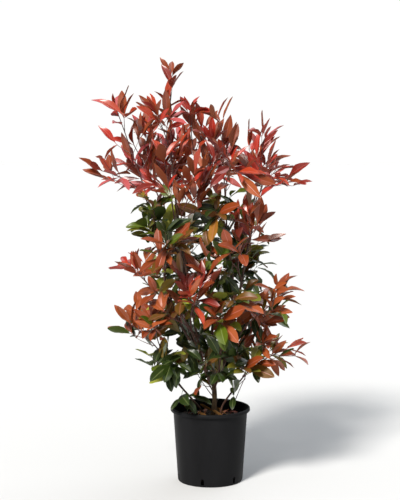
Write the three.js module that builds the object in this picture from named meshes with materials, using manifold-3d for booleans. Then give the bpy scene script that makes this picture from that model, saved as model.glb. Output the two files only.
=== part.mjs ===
// Photinia shrub with red young leaves, standing in its round black nursery pot.
// Millimetres, +Z up. The origin is the centre of the pot's flat underside; the plant's
// best side faces -Y, and +X is to the right as seen from there.

import * as THREE from 'three';
import * as BufferGeometryUtils from 'three/addons/utils/BufferGeometryUtils.js';
import Module from 'manifold-3d';

const wasm = await Module();
wasm.setup();

// ---- Driving dimensions ----

const GAP = 0.3;                    // clear space between pieces that touch
const MERGE = 1e-4;                 // corners nearer than this are one
const SLIVER = 0.01;                // faces thinner than this are merged away

const POT_HEIGHT = 262;
const POT_RIM_RADIUS = 140;
const POT_NECK_RADIUS = 130.5;      // outside, just under the rolled rim
const POT_FOOT_RADIUS = 114.5;
const POT_WALL = 2.5;
const POT_FLOOR = 4;
const RIM_BAND_HEIGHT = 19;
const RIM_UNDER_ROUND = 2;
const RIM_ROUND = 5;                // half the thickness of the rolled rim
const FOOT_ROUND = 5;
const FLOOR_ROUND = 3;
const ROUND_STEPS = 4;              // straight steps round half a circle
const POT_SIDES = 32;
const DRAIN_SLOTS = 6;
const DRAIN_SLOT_WIDTH = 11;
const DRAIN_CUT_IN = 14;            // from the foot radius to the cut's inner end
const DRAIN_CUT_LENGTH = 20;
const DRAIN_ARC_STEPS = 6;
const DRAIN_SLOT_LOW = 7;
const DRAIN_SLOT_HIGH = 29;
const DRAIN_FIRST_ANGLE = -104;     // degrees from +X

const COMPOST_LEVEL = 226;          // flat top of the compost
const COMPOST_EDGE_DROP = 4;
const COMPOST_EDGE_WIDTH = 8;

const LIMB_FOOT_DEPTH = 6;          // how far limbs on the compost run on before the flat cut
const TRUNK_FLARE = 6.5;            // what the root flare adds to the radius at the cut
const TRUNK_FLARE_HEIGHT = 11;
const TRUNK_SIDES = 9;
const TRUNK_STEP = 13;
const BOUGH_SIDES = 5;
const BOUGH_STEP = 95;              // longest straight stretch of a bough

const TWIG_SIDES = 3;
const STEM_STEPS = 3;
const STEM_BEND = 0.4;              // share of its length that a stem first runs on straight
const STEM_FOOT_RADIUS = 2.5;
const STEM_TIP_RADIUS = 1.6;
const SHOOT_RADIUS = 1.1;
const SHOOT_TIP_RADIUS = 0.85;
const TRUNK_SHOOT_RISE = 0.5;       // how steeply a mass's stem leaves the trunk
const FORK_OFFSET = 2.8;            // from a bough's axis to each of two stems on its tip
const SHOOT_LIFT = 0.35;            // how far side shoots turn up towards the light
const SHOOT_OFF_TURN = 22;          // degrees to either side of the stem's flat
const SHOOT_MARGIN = 4;             // between a side shoot and any limb

const LEAF_THICKNESS = 0.017;       // share of the leaf's length
const LEAF_FOLD = 24;               // degrees that each half of the blade rises
const LEAF_WIDEST = 0.5;            // share of the length where the blade is widest
const LEAF_ARCH = 0.05;             // share of the length that the middle stands above the chord
const LEAF_ROOT = 0.5;              // how far the blade's root passes the twig's axis
const LEAF_FIRST = 4;               // from a shoot's end back to its last leaf
const LEAF_STEP = 8;                // first step between leaves, back from there
const LEAF_STEP_GROWTH = 2.4;
const LEAF_ROLL = 0.9;              // how far blades roll at random out of facing up the shoot
const LEAN_JITTER = 9;              // degrees
const SPREAD_LEAVES = 5;            // from a shoot's end to the first leaf that leans out fully
const FACE_SHOOT = 0.7;             // how much blades face up the shoot, and how much the sky
const FACE_SKY = 0.3;
const YOUNG_SIZE = 0.84;            // size of the last leaf; this many further back are young
const YOUNG_LEAVES = 2;
const LEAF_SIZES = [0.86, 1.12];
const LEAF_OFF_TURN = 22;           // degrees to either side of a twig's flat
const SPACE_MARGIN = 2.5;           // between the spaces of two masses
const LIMB_MARGIN = 1.2;            // between a leaf and any limb
const POT_MARGIN = 4;               // between a leaf and the pot
const LEAF_NECK = 0.16;             // share of the way to its middle where leaves may touch
const TWIG_MARGIN = 0.2;            // between a leaf, past its neck, and its own mass's twigs
const LEAF_TRIES = 8;
const MASS_LEAVES = 14;             // most leaves of a mass
const STEM_LEAVES = 8;              // and of them on its main shoot
const SHOOT_LEAVES = 6;             // and on each side shoot
const LEAFY_SHARE = 0.85;           // share of a shoot, from its end, that carries leaves
const FOOT_TESTS = [0, 0.25, 0.5, 0.75];
const SHOOTS_FROM = 0.25;           // side shoots leave the stem from this share of it on
const SHOOTS_SPAN = 0.65;
const SHOOT_LEANS = [42, 62];       // degrees
const SHOOT_LENGTHS = [0.8, 1.1];   // shares of the mass's reach
const SIDE_SHOOTS = 3;
const SHOOT_TRIES = 6;
const TRY_SHRINK = 0.06;            // how much smaller each further try is

// Leaves: length and width in mm; lean is the angle from the shoot, at its head and lower down.
const LEAF_KINDS = {
  red: { length: 114, width: 52, headLean: 33, footLean: 66, sag: 0.0, colour: 0x9a2f27 },
  copper: { length: 112, width: 54, headLean: 36, footLean: 74, sag: 0.1, colour: 0xa8553a },
  green: { length: 114, width: 62, headLean: 45, footLean: 92, sag: 0.3, colour: 0x35521f },
};

const BARK_COLOUR = 0x6b5138;
const SHOOT_BARK_COLOUR = 0x54301f;
const POT_COLOUR = 0x232325;
const COMPOST_COLOUR = 0x2b211a;

// ---- The plant's own plan ----

// Trunk: its line from the flat cut at the compost to the fork.
const TRUNK = {
  line: [[13, 0, COMPOST_LEVEL - LIMB_FOOT_DEPTH], [15, -1, 290], [12, 0, 352]],
  foot: 9.6,
  tip: 8,
};

// Boughs. 'from' is the limb that carries it, 'at' the share of that limb's length where it
// leaves, or a foot on the compost is given; 'via' are its bends and 'tip' its end.
const BOUGHS = [
  { name: 'leader', from: 'trunk', at: 0.93, via: [[-8, -9, 380], [-31, -12, 440], [-62, -8, 600],
    [-92, 6, 800], [-122, 18, 1000]], tip: [-134, 20, 1120], radii: [6, 2.8] },
  { name: 'centre', from: 'trunk', at: 0.7, via: [[14, 20, 350], [9, 34, 430], [6, 42, 570], [-6, 46, 800]],
    tip: [-32, 42, 990], radii: [5.6, 2.8] },
  { name: 'right', from: 'trunk', at: 0.82, via: [[40, 4, 395], [66, 8, 480], [98, 6, 650],
    [134, 4, 850]], tip: [154, 0, 985], radii: [5.2, 2.8] },
  { name: 'tall_left', from: 'leader', at: 0.1, via: [[-82, -24, 520], [-146, -32, 640],
    [-172, -36, 840]], tip: [-214, -40, 985], radii: [4.6, 3] },
  { name: 'upper_right', from: 'right', at: 0.3, via: [[78, -30, 700], [60, -40, 850]],
    tip: [52, -44, 975], radii: [4.2, 2.6] },
  { name: 'high_front', from: 'leader', at: 0.5, via: [[-92, -52, 760]], tip: [-108, -92, 860],
    radii: [3.8, 2.8] },
  { name: 'high_back', from: 'leader', at: 0.56, via: [[-118, 50, 800]], tip: [-158, 84, 930],
    radii: [3.8, 2.8] },
  { name: 'left_inner', from: 'tall_left', at: 0.3, via: [[-150, -56, 690]],
    tip: [-156, -78, 745], radii: [3.4, 2.6] },
  { name: 'left_mid', from: 'leader', at: 0.4, via: [[-108, -66, 606]], tip: [-196, -84, 690],
    radii: [3.4, 2.6] },
  { name: 'back_left', from: 'trunk', at: 0.84, via: [[-10, 20, 364], [-52, 58, 460]], tip: [-98, 98, 570],
    radii: [4, 2.8] },
  { name: 'back_right', from: 'right', at: 0.14, via: [[66, 48, 500]], tip: [92, 92, 590],
    radii: [4, 2.8] },
  { name: 'right_back_high', from: 'right', at: 0.6, via: [[140, 50, 850]], tip: [162, 92, 950],
    radii: [3.4, 2.6] },
  { name: 'right_front', from: 'right', at: 0.38, via: [[104, -26, 690]], tip: [96, -58, 752],
    radii: [3.6, 2.8] },
  { name: 'green_right', from: 'upper_right', at: 0.5, via: [[58, -62, 830]], tip: [58, -84, 868],
    radii: [3, 2.4] },
  { name: 'front_left', from: 'leader', at: 0.08, via: [[-42, -52, 470]], tip: [-66, -104, 550],
    radii: [4, 2.8] },
  { name: 'front', from: 'trunk', at: 0.78, via: [[30, -50, 400]], tip: [36, -106, 500],
    radii: [3.8, 2.8] },
  { name: 'right_low', from: 'right', at: 0.2, via: [[110, -22, 535]], tip: [160, -38, 590],
    radii: [3.4, 2.6] },
  { name: 'low_left', foot: [-24, -24], via: [[-36, -30, 262], [-109, -48, 353]],
    tip: [-160, -56, 448], radii: [3.8, 2.8] },
  { name: 'bottom_left', from: 'low_left', at: 0.42, via: [[-118, -66, 362]],
    tip: [-138, -84, 378], radii: [2.8, 2.3] },
  { name: 'low_right', foot: [34, -26], via: [[42, -30, 270], [76, -40, 325]],
    tip: [114, -50, 378], radii: [3.4, 2.6] },
];

// Foliage masses. 'on' is the limb whose tip carries it (for the trunk, 'at' is the share of its
// length), 'head' the end of its main shoot, 'shoots' how many side shoots it has where that
// isn't the usual number, 'reach' how long they are, and 'seed' picks how they happen to turn.
const MASSES = [
  { name: 'top', on: 'leader', head: [-136, 20, 1420], shoots: 2, reach: 70, kind: 'red', seed: 56 },
  { name: 'upper_left', on: 'leader', head: [-176, -60, 1270], reach: 90, kind: 'red', seed: 104 },
  { name: 'left_fan', on: 'tall_left', head: [-320, -34, 1300], reach: 80, kind: 'red', seed: 74 },
  { name: 'far_left', on: 'tall_left', head: [-376, -60, 1098], reach: 95, kind: 'red', seed: 41 },
  { name: 'upper_mid', on: 'centre', head: [-76, 30, 1290], reach: 110, kind: 'red', seed: 74 },
  { name: 'high_back_right', on: 'centre', head: [20, 150, 1180], reach: 110, kind: 'red', seed: 66 },
  { name: 'right_shoot', on: 'right', head: [188, 0, 1206], reach: 80, kind: 'red', seed: 41 },
  { name: 'far_right', on: 'right', head: [270, -44, 1070], reach: 80, kind: 'red', seed: 67 },
  { name: 'upper_right', on: 'upper_right', head: [38, -20, 1260], reach: 100, kind: 'red', seed: 85 },
  { name: 'high_front_right', on: 'upper_right', head: [66, -160, 1120], reach: 100, kind: 'red', seed: 70 },
  { name: 'high_front_left', on: 'high_front', head: [-156, -150, 1140], reach: 100, kind: 'red', seed: 4 },
  { name: 'high_front', on: 'high_front', head: [-24, -150, 1100], reach: 100, kind: 'red', seed: 73 },
  { name: 'high_back_left', on: 'high_back', head: [-140, 170, 1160], reach: 110, kind: 'red', seed: 76 },
  { name: 'left_back', on: 'high_back', head: [-270, 96, 1180], reach: 100, kind: 'red', seed: 11 },
  { name: 'green_left', on: 'left_inner', head: [-206, -70, 960], reach: 75, kind: 'green', seed: 80 },
  { name: 'centre_left', on: 'left_inner', head: [-120, -160, 850], reach: 85, kind: 'copper', seed: 116 },
  { name: 'right_back', on: 'right_back_high', head: [200, 140, 1100], reach: 110, kind: 'red', seed: 48 },
  { name: 'right_mid', on: 'right_front', head: [160, -84, 910], reach: 90, kind: 'red', seed: 107 },
  { name: 'centre_right', on: 'right_front', head: [50, -150, 800], reach: 80, kind: 'green', seed: 74 },
  { name: 'green_right', on: 'green_right', head: [30, -120, 970], reach: 80, kind: 'green', seed: 27 },
  { name: 'left_mid', on: 'left_mid', head: [-250, -66, 750], reach: 80, kind: 'red', seed: 64 },
  { name: 'back_mid_left', on: 'back_left', head: [-80, 160, 820], shoots: 4, reach: 110, kind: 'green', seed: 104 },
  { name: 'back_low_left', on: 'back_left', head: [-130, 140, 530], reach: 100, kind: 'copper', seed: 46 },
  { name: 'back_mid_right', on: 'back_right', head: [140, 120, 800], shoots: 4, reach: 100, kind: 'green', seed: 50 },
  { name: 'back_low_right', on: 'back_right', head: [160, 130, 560], reach: 100, kind: 'copper', seed: 40 },
  { name: 'centre_low_left', on: 'front_left', head: [-140, -140, 600], reach: 80, kind: 'green', seed: 83 },
  { name: 'centre_red', on: 'front_left', head: [-36, -190, 710], reach: 80, kind: 'red', seed: 40 },
  { name: 'centre_low', on: 'front', head: [40, -170, 620], reach: 90, kind: 'copper', seed: 20 },
  { name: 'right_low', on: 'right_low', head: [236, -50, 650], reach: 75, kind: 'copper', seed: 116 },
  { name: 'low_left', on: 'low_left', head: [-276, -64, 566], reach: 80, kind: 'copper', seed: 50 },
  { name: 'low_left_inner', on: 'low_left', head: [-200, -90, 590], reach: 70, kind: 'copper', seed: 15 },
  { name: 'bottom_left', on: 'bottom_left', head: [-160, -106, 440], reach: 60, kind: 'green', seed: 55 },
  { name: 'low_right', on: 'low_right', head: [262, -70, 480], reach: 80, kind: 'copper', seed: 42 },
  { name: 'bottom_right', on: 'low_right', head: [124, -112, 430], reach: 60, kind: 'green', seed: 81 },
  { name: 'bottom_front', on: 'trunk', at: 0.66, head: [-26, -118, 440], reach: 75, kind: 'green', seed: 18 },
  { name: 'bottom_back', on: 'trunk', at: 0.5, head: [0, 150, 450], reach: 90, kind: 'green', seed: 98 },
];

// ---- Small helpers ----

const vec = (place) => new THREE.Vector3(...place);

const radians = THREE.MathUtils.degToRad;

// A repeatable number from 0 to 1 for a set of whole-number keys.
const CHANCE_PRIME = 2147483647;
const CHANCE_FACTOR = 48271;
const CHANCE_KEY_FACTOR = 7919;
const CHANCE_OFFSET = 11;
const CHANCE_ROUNDS = 3;
function chance(...keys) {
  let state = 1;
  for (const key of keys) {
    state = (state * CHANCE_FACTOR + key * CHANCE_KEY_FACTOR + CHANCE_OFFSET) % CHANCE_PRIME;
  }
  for (let round = 0; round < CHANCE_ROUNDS; round += 1) {
    state = (state * CHANCE_FACTOR) % CHANCE_PRIME;
  }
  return state / CHANCE_PRIME;
}

const between = (low, high, ...keys) => low + (high - low) * chance(...keys);

// A unit vector across a direction.
const STEEP = 0.95;
function across(direction) {
  const steep = Math.abs(direction.z) > STEEP;
  const reference = steep ? new THREE.Vector3(1, 0, 0) : new THREE.Vector3(0, 0, 1);
  return new THREE.Vector3().crossVectors(direction, reference).normalize();
}

function toSolid(geometry) {
  const bare = geometry.clone();
  bare.deleteAttribute('normal');
  bare.deleteAttribute('uv');
  const merged = BufferGeometryUtils.mergeVertices(bare, MERGE);
  return new wasm.Manifold(new wasm.Mesh({
    numProp: 3,
    vertProperties: new Float32Array(merged.attributes.position.array),
    triVerts: new Uint32Array(merged.index.array),
  }));
}

function toGeometry(solid) {
  const mesh = solid.simplify(SLIVER).getMesh();
  const geometry = new THREE.BufferGeometry();
  geometry.setAttribute('position', new THREE.BufferAttribute(mesh.vertProperties, mesh.numProp));
  geometry.setIndex(new THREE.BufferAttribute(mesh.triVerts, 1));
  geometry.computeVertexNormals();
  return geometry;
}

// The largest body of a solid, so that a loose scrap is dropped.
function largestBody(solid) {
  const bodies = solid.decompose();
  return bodies.reduce((best, body) => (body.volume() > best.volume() ? body : best));
}

function geometryOf(points, faces) {
  const geometry = new THREE.BufferGeometry();
  const places = points.flatMap((point) => point.toArray());
  geometry.setAttribute('position', new THREE.Float32BufferAttribute(places, 3));
  geometry.setIndex(faces.flat());
  return geometry;
}

// ---- Limbs ----

// A side vector turned square to a direction.
function squareTo(side, along) {
  return side.clone().addScaledVector(along, -side.dot(along)).normalize();
}

// For each place on a line, the direction along it and a side vector that doesn't twist.
function framesOf(line) {
  let side = null;
  return line.map((place, step) => {
    const before = line[Math.max(step - 1, 0)];
    const after = line[Math.min(step + 1, line.length - 1)];
    const along = after.clone().sub(before).normalize();
    side = side === null ? across(along) : squareTo(side, along);
    return { along, side };
  });
}

// A closed tapering rod along a line of points; radiusAt takes the share of the way along it.
function rod(line, radiusAt, sides) {
  const points = [];
  const faces = [];
  framesOf(line).forEach(({ along, side }, step) => {
    const front = new THREE.Vector3().crossVectors(along, side);
    const radius = radiusAt(step / (line.length - 1));
    for (let corner = 0; corner < sides; corner += 1) {
      const turn = (2 * Math.PI * corner) / sides;
      points.push(line[step].clone()
        .addScaledVector(side, radius * Math.cos(turn))
        .addScaledVector(front, radius * Math.sin(turn)));
    }
  });
  for (let step = 0; step < line.length - 1; step += 1) {
    for (let corner = 0; corner < sides; corner += 1) {
      const next = (corner + 1) % sides;
      const low = step * sides;
      const high = low + sides;
      faces.push([low + corner, low + next, high + next]);
      faces.push([low + corner, high + next, high + corner]);
    }
  }
  const last = (line.length - 1) * sides;
  for (let corner = 1; corner < sides - 1; corner += 1) {
    faces.push([0, corner + 1, corner], [last, last + corner, last + corner + 1]);
  }
  return geometryOf(points, faces);
}

// Points along a smooth curve through the given places, at most 'step' apart.
function smoothLine(places, step) {
  const curve = new THREE.CatmullRomCurve3(places, false, 'catmullrom', 0.5);
  const count = Math.max(2, Math.ceil(curve.getLength() / step));
  return curve.getPoints(count);
}

// The place, direction and side vectors at a share of a line of points, counted by steps.
const SHARE_END = 1e-4;             // keeps the end of a line in its last step
function alongLine(line, share) {
  const position = Math.min(share, 1 - SHARE_END) * (line.length - 1);
  const step = Math.floor(position);
  const place = line[step].clone().lerp(line[step + 1], position - step);
  const direction = line[step + 1].clone().sub(line[step]).normalize();
  const side = squareTo(framesOf(line)[step].side, direction);
  const front = new THREE.Vector3().crossVectors(direction, side);
  return { place, direction, side, front };
}

// The direction that leans out of a flat side of a three-sided twig.
function leaningOut({ direction, side, front }, flat, offTurn, lean) {
  const turn = radians((360 / TWIG_SIDES) * (flat + 0.5) + offTurn);
  return direction.clone().multiplyScalar(Math.cos(lean))
    .addScaledVector(side, Math.sin(lean) * Math.cos(turn))
    .addScaledVector(front, Math.sin(lean) * Math.sin(turn));
}

function lineLength(line) {
  return line.slice(1).reduce((sum, place, step) => sum + place.distanceTo(line[step]), 0);
}

const limbs = new Map();

function trunkRadius(share) {
  const height = share * (TRUNK.line[2][2] - TRUNK.line[0][2]) - LIMB_FOOT_DEPTH;
  const flare = TRUNK_FLARE * Math.exp(-height / TRUNK_FLARE_HEIGHT);
  return TRUNK.foot + (TRUNK.tip - TRUNK.foot) * share + flare;
}

function addTrunk() {
  const line = smoothLine(TRUNK.line.map(vec), TRUNK_STEP);
  limbs.set('trunk', { line, radiusAt: trunkRadius, sides: TRUNK_SIDES });
}

function addBough(row) {
  const radiusAt = (share) => row.radii[0] + (row.radii[1] - row.radii[0]) * share;
  const places = row.via.map(vec);
  places.push(vec(row.tip));
  if (row.from) {
    places.unshift(alongLine(limbs.get(row.from).line, row.at).place);
  } else {
    places.unshift(new THREE.Vector3(row.foot[0], row.foot[1], COMPOST_LEVEL - LIMB_FOOT_DEPTH));
  }
  const line = smoothLine(places, BOUGH_STEP);
  limbs.set(row.name, { line, radiusAt, sides: BOUGH_SIDES, from: row.from });
}

// A bough starts on the axis of its carrier and is cut back to leave the gap round it; a limb
// that stands on the compost is cut flat just above it.
function limbSolid(limb) {
  const solid = toSolid(rod(limb.line, limb.radiusAt, limb.sides));
  if (!limb.from) {
    return solid.trimByPlane([0, 0, 1], COMPOST_LEVEL + GAP);
  }
  return largestBody(solid.subtract(limbSleeve(limb.from)));
}

// A limb made wider by the gap, to cut back what it carries.
function limbSleeve(name) {
  const { line, radiusAt, sides } = limbs.get(name);
  return toSolid(rod(line, (share) => radiusAt(share) + GAP, sides));
}

// ---- Where each mass may grow ----

function distanceToLine(line, place) {
  let least = Infinity;
  const piece = new THREE.Line3();
  const nearest = new THREE.Vector3();
  for (let step = 0; step < line.length - 1; step += 1) {
    piece.set(line[step], line[step + 1]);
    piece.closestPointToPoint(place, true, nearest);
    least = Math.min(least, nearest.distanceTo(place));
  }
  return least;
}

// A place is in a mass's space if its own main stem is nearer than any other mass's.
function inSpace(mass, place) {
  const own = distanceToLine(mass.stem, place);
  const least = own + SPACE_MARGIN;
  return masses.every((other) => other === mass || distanceToLine(other.stem, place) > least);
}

function clearOfPot(place) {
  const out = Math.hypot(place.x, place.y);
  return place.z > POT_HEIGHT + POT_MARGIN || out > POT_RIM_RADIUS + POT_MARGIN;
}

// The straight stretches of a rod, each with its widest radius.
function stretchesOf(line, radiusAt) {
  return line.slice(1).map((place, step) => ({
    line: new THREE.Line3(line[step], place),
    radius: radiusAt(step / (line.length - 1)),
  }));
}

function clearOfLimbs(place, margin) {
  const nearest = new THREE.Vector3();
  return limbStretches.every(({ line, radius }) => {
    line.closestPointToPoint(place, true, nearest);
    return nearest.distanceTo(place) > radius + margin;
  });
}

// The least distance between two straight lines.
const PARALLEL = 1e-9;
function lineGap(first, second) {
  const nearest = new THREE.Vector3();
  const along = first.delta(new THREE.Vector3());
  const other = second.delta(new THREE.Vector3());
  const offset = first.start.clone().sub(second.start);
  const a = along.dot(along);
  const b = along.dot(other);
  const c = other.dot(other);
  const d = along.dot(offset);
  const e = other.dot(offset);
  const bottom = a * c - b * b;
  const share = bottom > PARALLEL ? THREE.MathUtils.clamp((b * e - c * d) / bottom, 0, 1) : 0;
  const place = first.at(share, new THREE.Vector3());
  second.closestPointToPoint(place, true, nearest);
  first.closestPointToPoint(nearest, true, place);
  return nearest.distanceTo(place);
}

function edgesOf(corners) {
  return corners.map((corner, index) => new THREE.Line3(corner, corners[(index + 1) % 3]));
}

// Whether a triangle keeps the margin to every stretch.
function triangleClear(corners, stretches, margin) {
  const triangle = new THREE.Triangle(...corners);
  const box = new THREE.Box3().setFromPoints(corners);
  const ray = new THREE.Ray();
  const hit = new THREE.Vector3();
  return stretches.every(({ line, radius }) => {
    const room = radius + margin;
    const reach = new THREE.Box3().setFromPoints([line.start, line.end]).expandByScalar(room);
    if (!reach.intersectsBox(box)) {
      return true;
    }
    const length = line.distance();
    ray.set(line.start, line.end.clone().sub(line.start).normalize());
    if (ray.intersectTriangle(...corners, false, hit) && hit.distanceTo(line.start) < length) {
      return false;
    }
    for (const end of [line.start, line.end]) {
      if (triangle.closestPointToPoint(end, hit).distanceTo(end) < room) {
        return false;
      }
    }
    return edgesOf(corners).every((edge) => lineGap(edge, line) > room);
  });
}

// ---- Leaves and twigs ----

function leafFrame(foot, direction, up, length, width) {
  const normal = up.clone().addScaledVector(direction, -up.dot(direction)).normalize();
  const side = new THREE.Vector3().crossVectors(direction, normal);
  const root = foot.clone().addScaledVector(direction, -LEAF_ROOT);
  const middle = root.clone()
    .addScaledVector(direction, length * LEAF_WIDEST)
    .addScaledVector(normal, length * LEAF_ARCH);
  const tip = root.clone().addScaledVector(direction, length);
  const half = width / 2;
  const rise = half * Math.sin(radians(LEAF_FOLD));
  const span = half * Math.cos(radians(LEAF_FOLD));
  const thick = (length * LEAF_THICKNESS) / 2;
  const right = middle.clone().addScaledVector(side, span).addScaledVector(normal, rise);
  const left = middle.clone().addScaledVector(side, -span).addScaledVector(normal, rise);
  const top = middle.clone().addScaledVector(normal, thick);
  const bottom = middle.clone().addScaledVector(normal, -thick);
  return { root, tip, right, left, top, bottom, middle };
}

// A folded blade of eight faces, thickest along its midrib.
function leafSolid({ root, tip, right, left, top, bottom }) {
  const upper = [[0, 2, 4], [2, 1, 4], [1, 3, 4], [3, 0, 4]];
  const lower = [[2, 0, 5], [1, 2, 5], [3, 1, 5], [0, 3, 5]];
  return toSolid(geometryOf([root, tip, right, left, top, bottom], [...upper, ...lower]));
}

// Places spread over a blade, for testing where it lies.
const BLADE_TESTS = [0.3, 0.65];
function leafPlaces({ root, tip, right, left, middle }) {
  const places = [tip, right, left, middle];
  for (const edge of [right, left, middle]) {
    for (const share of BLADE_TESTS) {
      places.push(root.clone().lerp(edge, share));
      places.push(tip.clone().lerp(edge, share));
    }
  }
  places.push(middle.clone().lerp(right, 0.5), middle.clone().lerp(left, 0.5));
  return places;
}

// The four triangles of a blade's middle surface, from a little way out from the root.
function leafTriangles({ root, tip, right, left, middle }) {
  const neck = root.clone().lerp(middle, LEAF_NECK);
  return [[neck, right, middle], [right, tip, middle], [tip, left, middle], [left, neck, middle]];
}

// Whether any edge of one blade goes through another blade.
function edgesCross(blade, other) {
  const ray = new THREE.Ray();
  const hit = new THREE.Vector3();
  return leafTriangles(blade).flatMap(edgesOf).some((edge) => {
    const length = edge.distance();
    ray.set(edge.start, edge.end.clone().sub(edge.start).normalize());
    return leafTriangles(other).some((face) => (
      ray.intersectTriangle(...face, false, hit) && hit.distanceTo(edge.start) < length
    ));
  });
}

function hasRoom(mass, blade, grown, twigStretches) {
  const triangles = leafTriangles(blade);
  return leafPlaces(blade).every((spot) => inSpace(mass, spot) && clearOfPot(spot))
    && triangles.every((corners) => triangleClear(corners, limbStretches, LIMB_MARGIN))
    && triangles.every((corners) => triangleClear(corners, twigStretches, TWIG_MARGIN))
    && grown.every((other) => !edgesCross(blade, other) && !edgesCross(other, blade));
}

// How far back from a shoot's end each of its leaves stands.
function leafBack(leaf) {
  return LEAF_FIRST + LEAF_STEP * leaf + LEAF_STEP_GROWTH * leaf * leaf;
}

// One leaf of a shoot; each further try takes the twig's next flat side and a smaller leaf.
function shootLeaf(mass, shoot, number, leaf, attempt) {
  const kind = LEAF_KINDS[mass.kind];
  const keys = [mass.number, mass.seed, number, leaf, attempt];
  const spot = alongLine(shoot.line, 1 - leafBack(leaf) / shoot.length);
  const lowness = Math.min(1, leaf / SPREAD_LEAVES);
  const lean = radians(kind.headLean + (kind.footLean - kind.headLean) * lowness
    + between(-LEAN_JITTER, LEAN_JITTER, ...keys, 1));
  const firstFlat = Math.floor(TWIG_SIDES * chance(mass.number, mass.seed, number));
  const offTurn = between(-LEAF_OFF_TURN, LEAF_OFF_TURN, ...keys, 4);
  const outward = leaningOut(spot, firstFlat + leaf + attempt, offTurn, lean);
  outward.z -= kind.sag * lowness;
  outward.normalize();
  const up = spot.direction.clone().multiplyScalar(FACE_SHOOT);
  up.z += FACE_SKY;
  up.addScaledVector(spot.side, between(-LEAF_ROLL, LEAF_ROLL, ...keys, 2));
  up.addScaledVector(spot.front, between(-LEAF_ROLL, LEAF_ROLL, ...keys, 7));
  const young = YOUNG_SIZE + (1 - YOUNG_SIZE) * Math.min(1, leaf / YOUNG_LEAVES);
  const size = young * between(...LEAF_SIZES, ...keys, 3) * (1 - TRY_SHRINK * attempt);
  return leafFrame(spot.place, outward, up, kind.length * size, kind.width * size);
}

// The leaves of a mass: the last leaf of every shoot first, then the next ones back, until the
// mass has its share. A leaf that has no room at any try is left out.
function growLeaves(mass, shoots) {
  const twigStretches = shoots.flatMap((shoot) => stretchesOf(shoot.line, () => SHOOT_TIP_RADIUS));
  const blades = [];
  for (let leaf = 0; leaf < STEM_LEAVES; leaf += 1) {
    shoots.forEach((shoot, number) => {
      const most = number === 0 ? STEM_LEAVES : SHOOT_LEAVES;
      if (leaf >= most || leafBack(leaf) > shoot.length * LEAFY_SHARE || blades.length >= MASS_LEAVES) {
        return;
      }
      for (let attempt = 0; attempt < LEAF_TRIES; attempt += 1) {
        const blade = shootLeaf(mass, shoot, number, leaf, attempt);
        if (hasRoom(mass, blade, blades, twigStretches)) {
          blades.push(blade);
          break;
        }
      }
    });
  }
  return blades;
}

function shootHasRoom(mass, place) {
  return inSpace(mass, place) && clearOfLimbs(place, SHOOT_MARGIN) && clearOfPot(place);
}

// A side shoot that leaves the stem at one of its flat sides; null where it has no room.
function sideShoot(mass, number) {
  const spot = alongLine(mass.stem, SHOOTS_FROM + (SHOOTS_SPAN * (number + 0.5)) / mass.shoots);
  for (let attempt = 0; attempt < SHOOT_TRIES; attempt += 1) {
    const keys = [mass.number, mass.seed, number, attempt];
    const lean = radians(between(...SHOOT_LEANS, ...keys, 9));
    const flat = number + attempt + Math.floor(TWIG_SIDES * chance(mass.number, mass.seed, 5));
    const offTurn = between(-SHOOT_OFF_TURN, SHOOT_OFF_TURN, ...keys, 6);
    const outward = leaningOut(spot, flat, offTurn, lean);
    outward.z += SHOOT_LIFT * outward.distanceTo(spot.direction);
    outward.normalize();
    const length = mass.reach * between(...SHOOT_LENGTHS, ...keys, 10) * (1 - TRY_SHRINK * attempt);
    const end = spot.place.clone().addScaledVector(outward, length);
    const tests = [...BLADE_TESTS, 1].map((share) => spot.place.clone().lerp(end, share));
    if (tests.every((test) => shootHasRoom(mass, test))) {
      return { line: [spot.place, end], length };
    }
  }
  return null;
}

// The main stem of a mass: from its bough's tip, first along the bough and then to its head.
// Where its foot stands askew to the bough's end, it moves off until its nearest corner is clear.
function mainStem(row, rowsOnSameTip) {
  const limb = limbs.get(row.on);
  const head = vec(row.head);
  const foot = new THREE.Vector3();
  const start = new THREE.Vector3();
  if (row.on === 'trunk') {
    const { place, direction } = alongLine(limb.line, row.at);
    start.copy(head).sub(place);
    start.addScaledVector(direction, -start.dot(direction)).normalize();
    foot.copy(place);
    start.addScaledVector(direction, TRUNK_SHOOT_RISE).normalize();
  } else {
    const last = limb.line[limb.line.length - 1];
    start.copy(last).sub(limb.line[limb.line.length - 2]).normalize();
    foot.copy(last).addScaledVector(start, GAP);
    if (rowsOnSameTip.length > 1) {
      const apart = vec(rowsOnSameTip[0].head).sub(vec(rowsOnSameTip[1].head));
      apart.addScaledVector(start, -apart.dot(start)).normalize();
      foot.addScaledVector(apart, row === rowsOnSameTip[0] ? FORK_OFFSET : -FORK_OFFSET);
    }
  }
  if (row.on !== 'trunk') {
    foot.addScaledVector(start, footDip(stemLine(foot, start, head), limb, start));
  }
  return stemLine(foot, start, head);
}

// How far a stem's slanted foot reaches back over the end of the bough that carries it.
function footDip(stem, limb, start) {
  const axis = limb.line[limb.line.length - 1];
  const { along, side } = framesOf(stem)[0];
  const front = new THREE.Vector3().crossVectors(along, side);
  const corners = Array.from({ length: TWIG_SIDES }, (_, corner) => {
    const turn = (2 * Math.PI * corner) / TWIG_SIDES;
    return stem[0].clone()
      .addScaledVector(side, STEM_FOOT_RADIUS * Math.cos(turn))
      .addScaledVector(front, STEM_FOOT_RADIUS * Math.sin(turn));
  });
  const rim = edgesOf(corners).flatMap((edge) => (
    FOOT_TESTS.map((share) => edge.at(share, new THREE.Vector3()).sub(axis))
  ));
  const reach = limb.radiusAt(1) + GAP;
  const over = rim.filter((place) => place.clone().projectOnPlane(start).length() < reach);
  return GAP - Math.min(...over.map((place) => place.dot(start)));
}

function stemLine(foot, start, head) {
  const bend = foot.clone().addScaledVector(start, foot.distanceTo(head) * STEM_BEND);
  return new THREE.QuadraticBezierCurve3(foot, bend, head).getPoints(STEM_STEPS);
}

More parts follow.
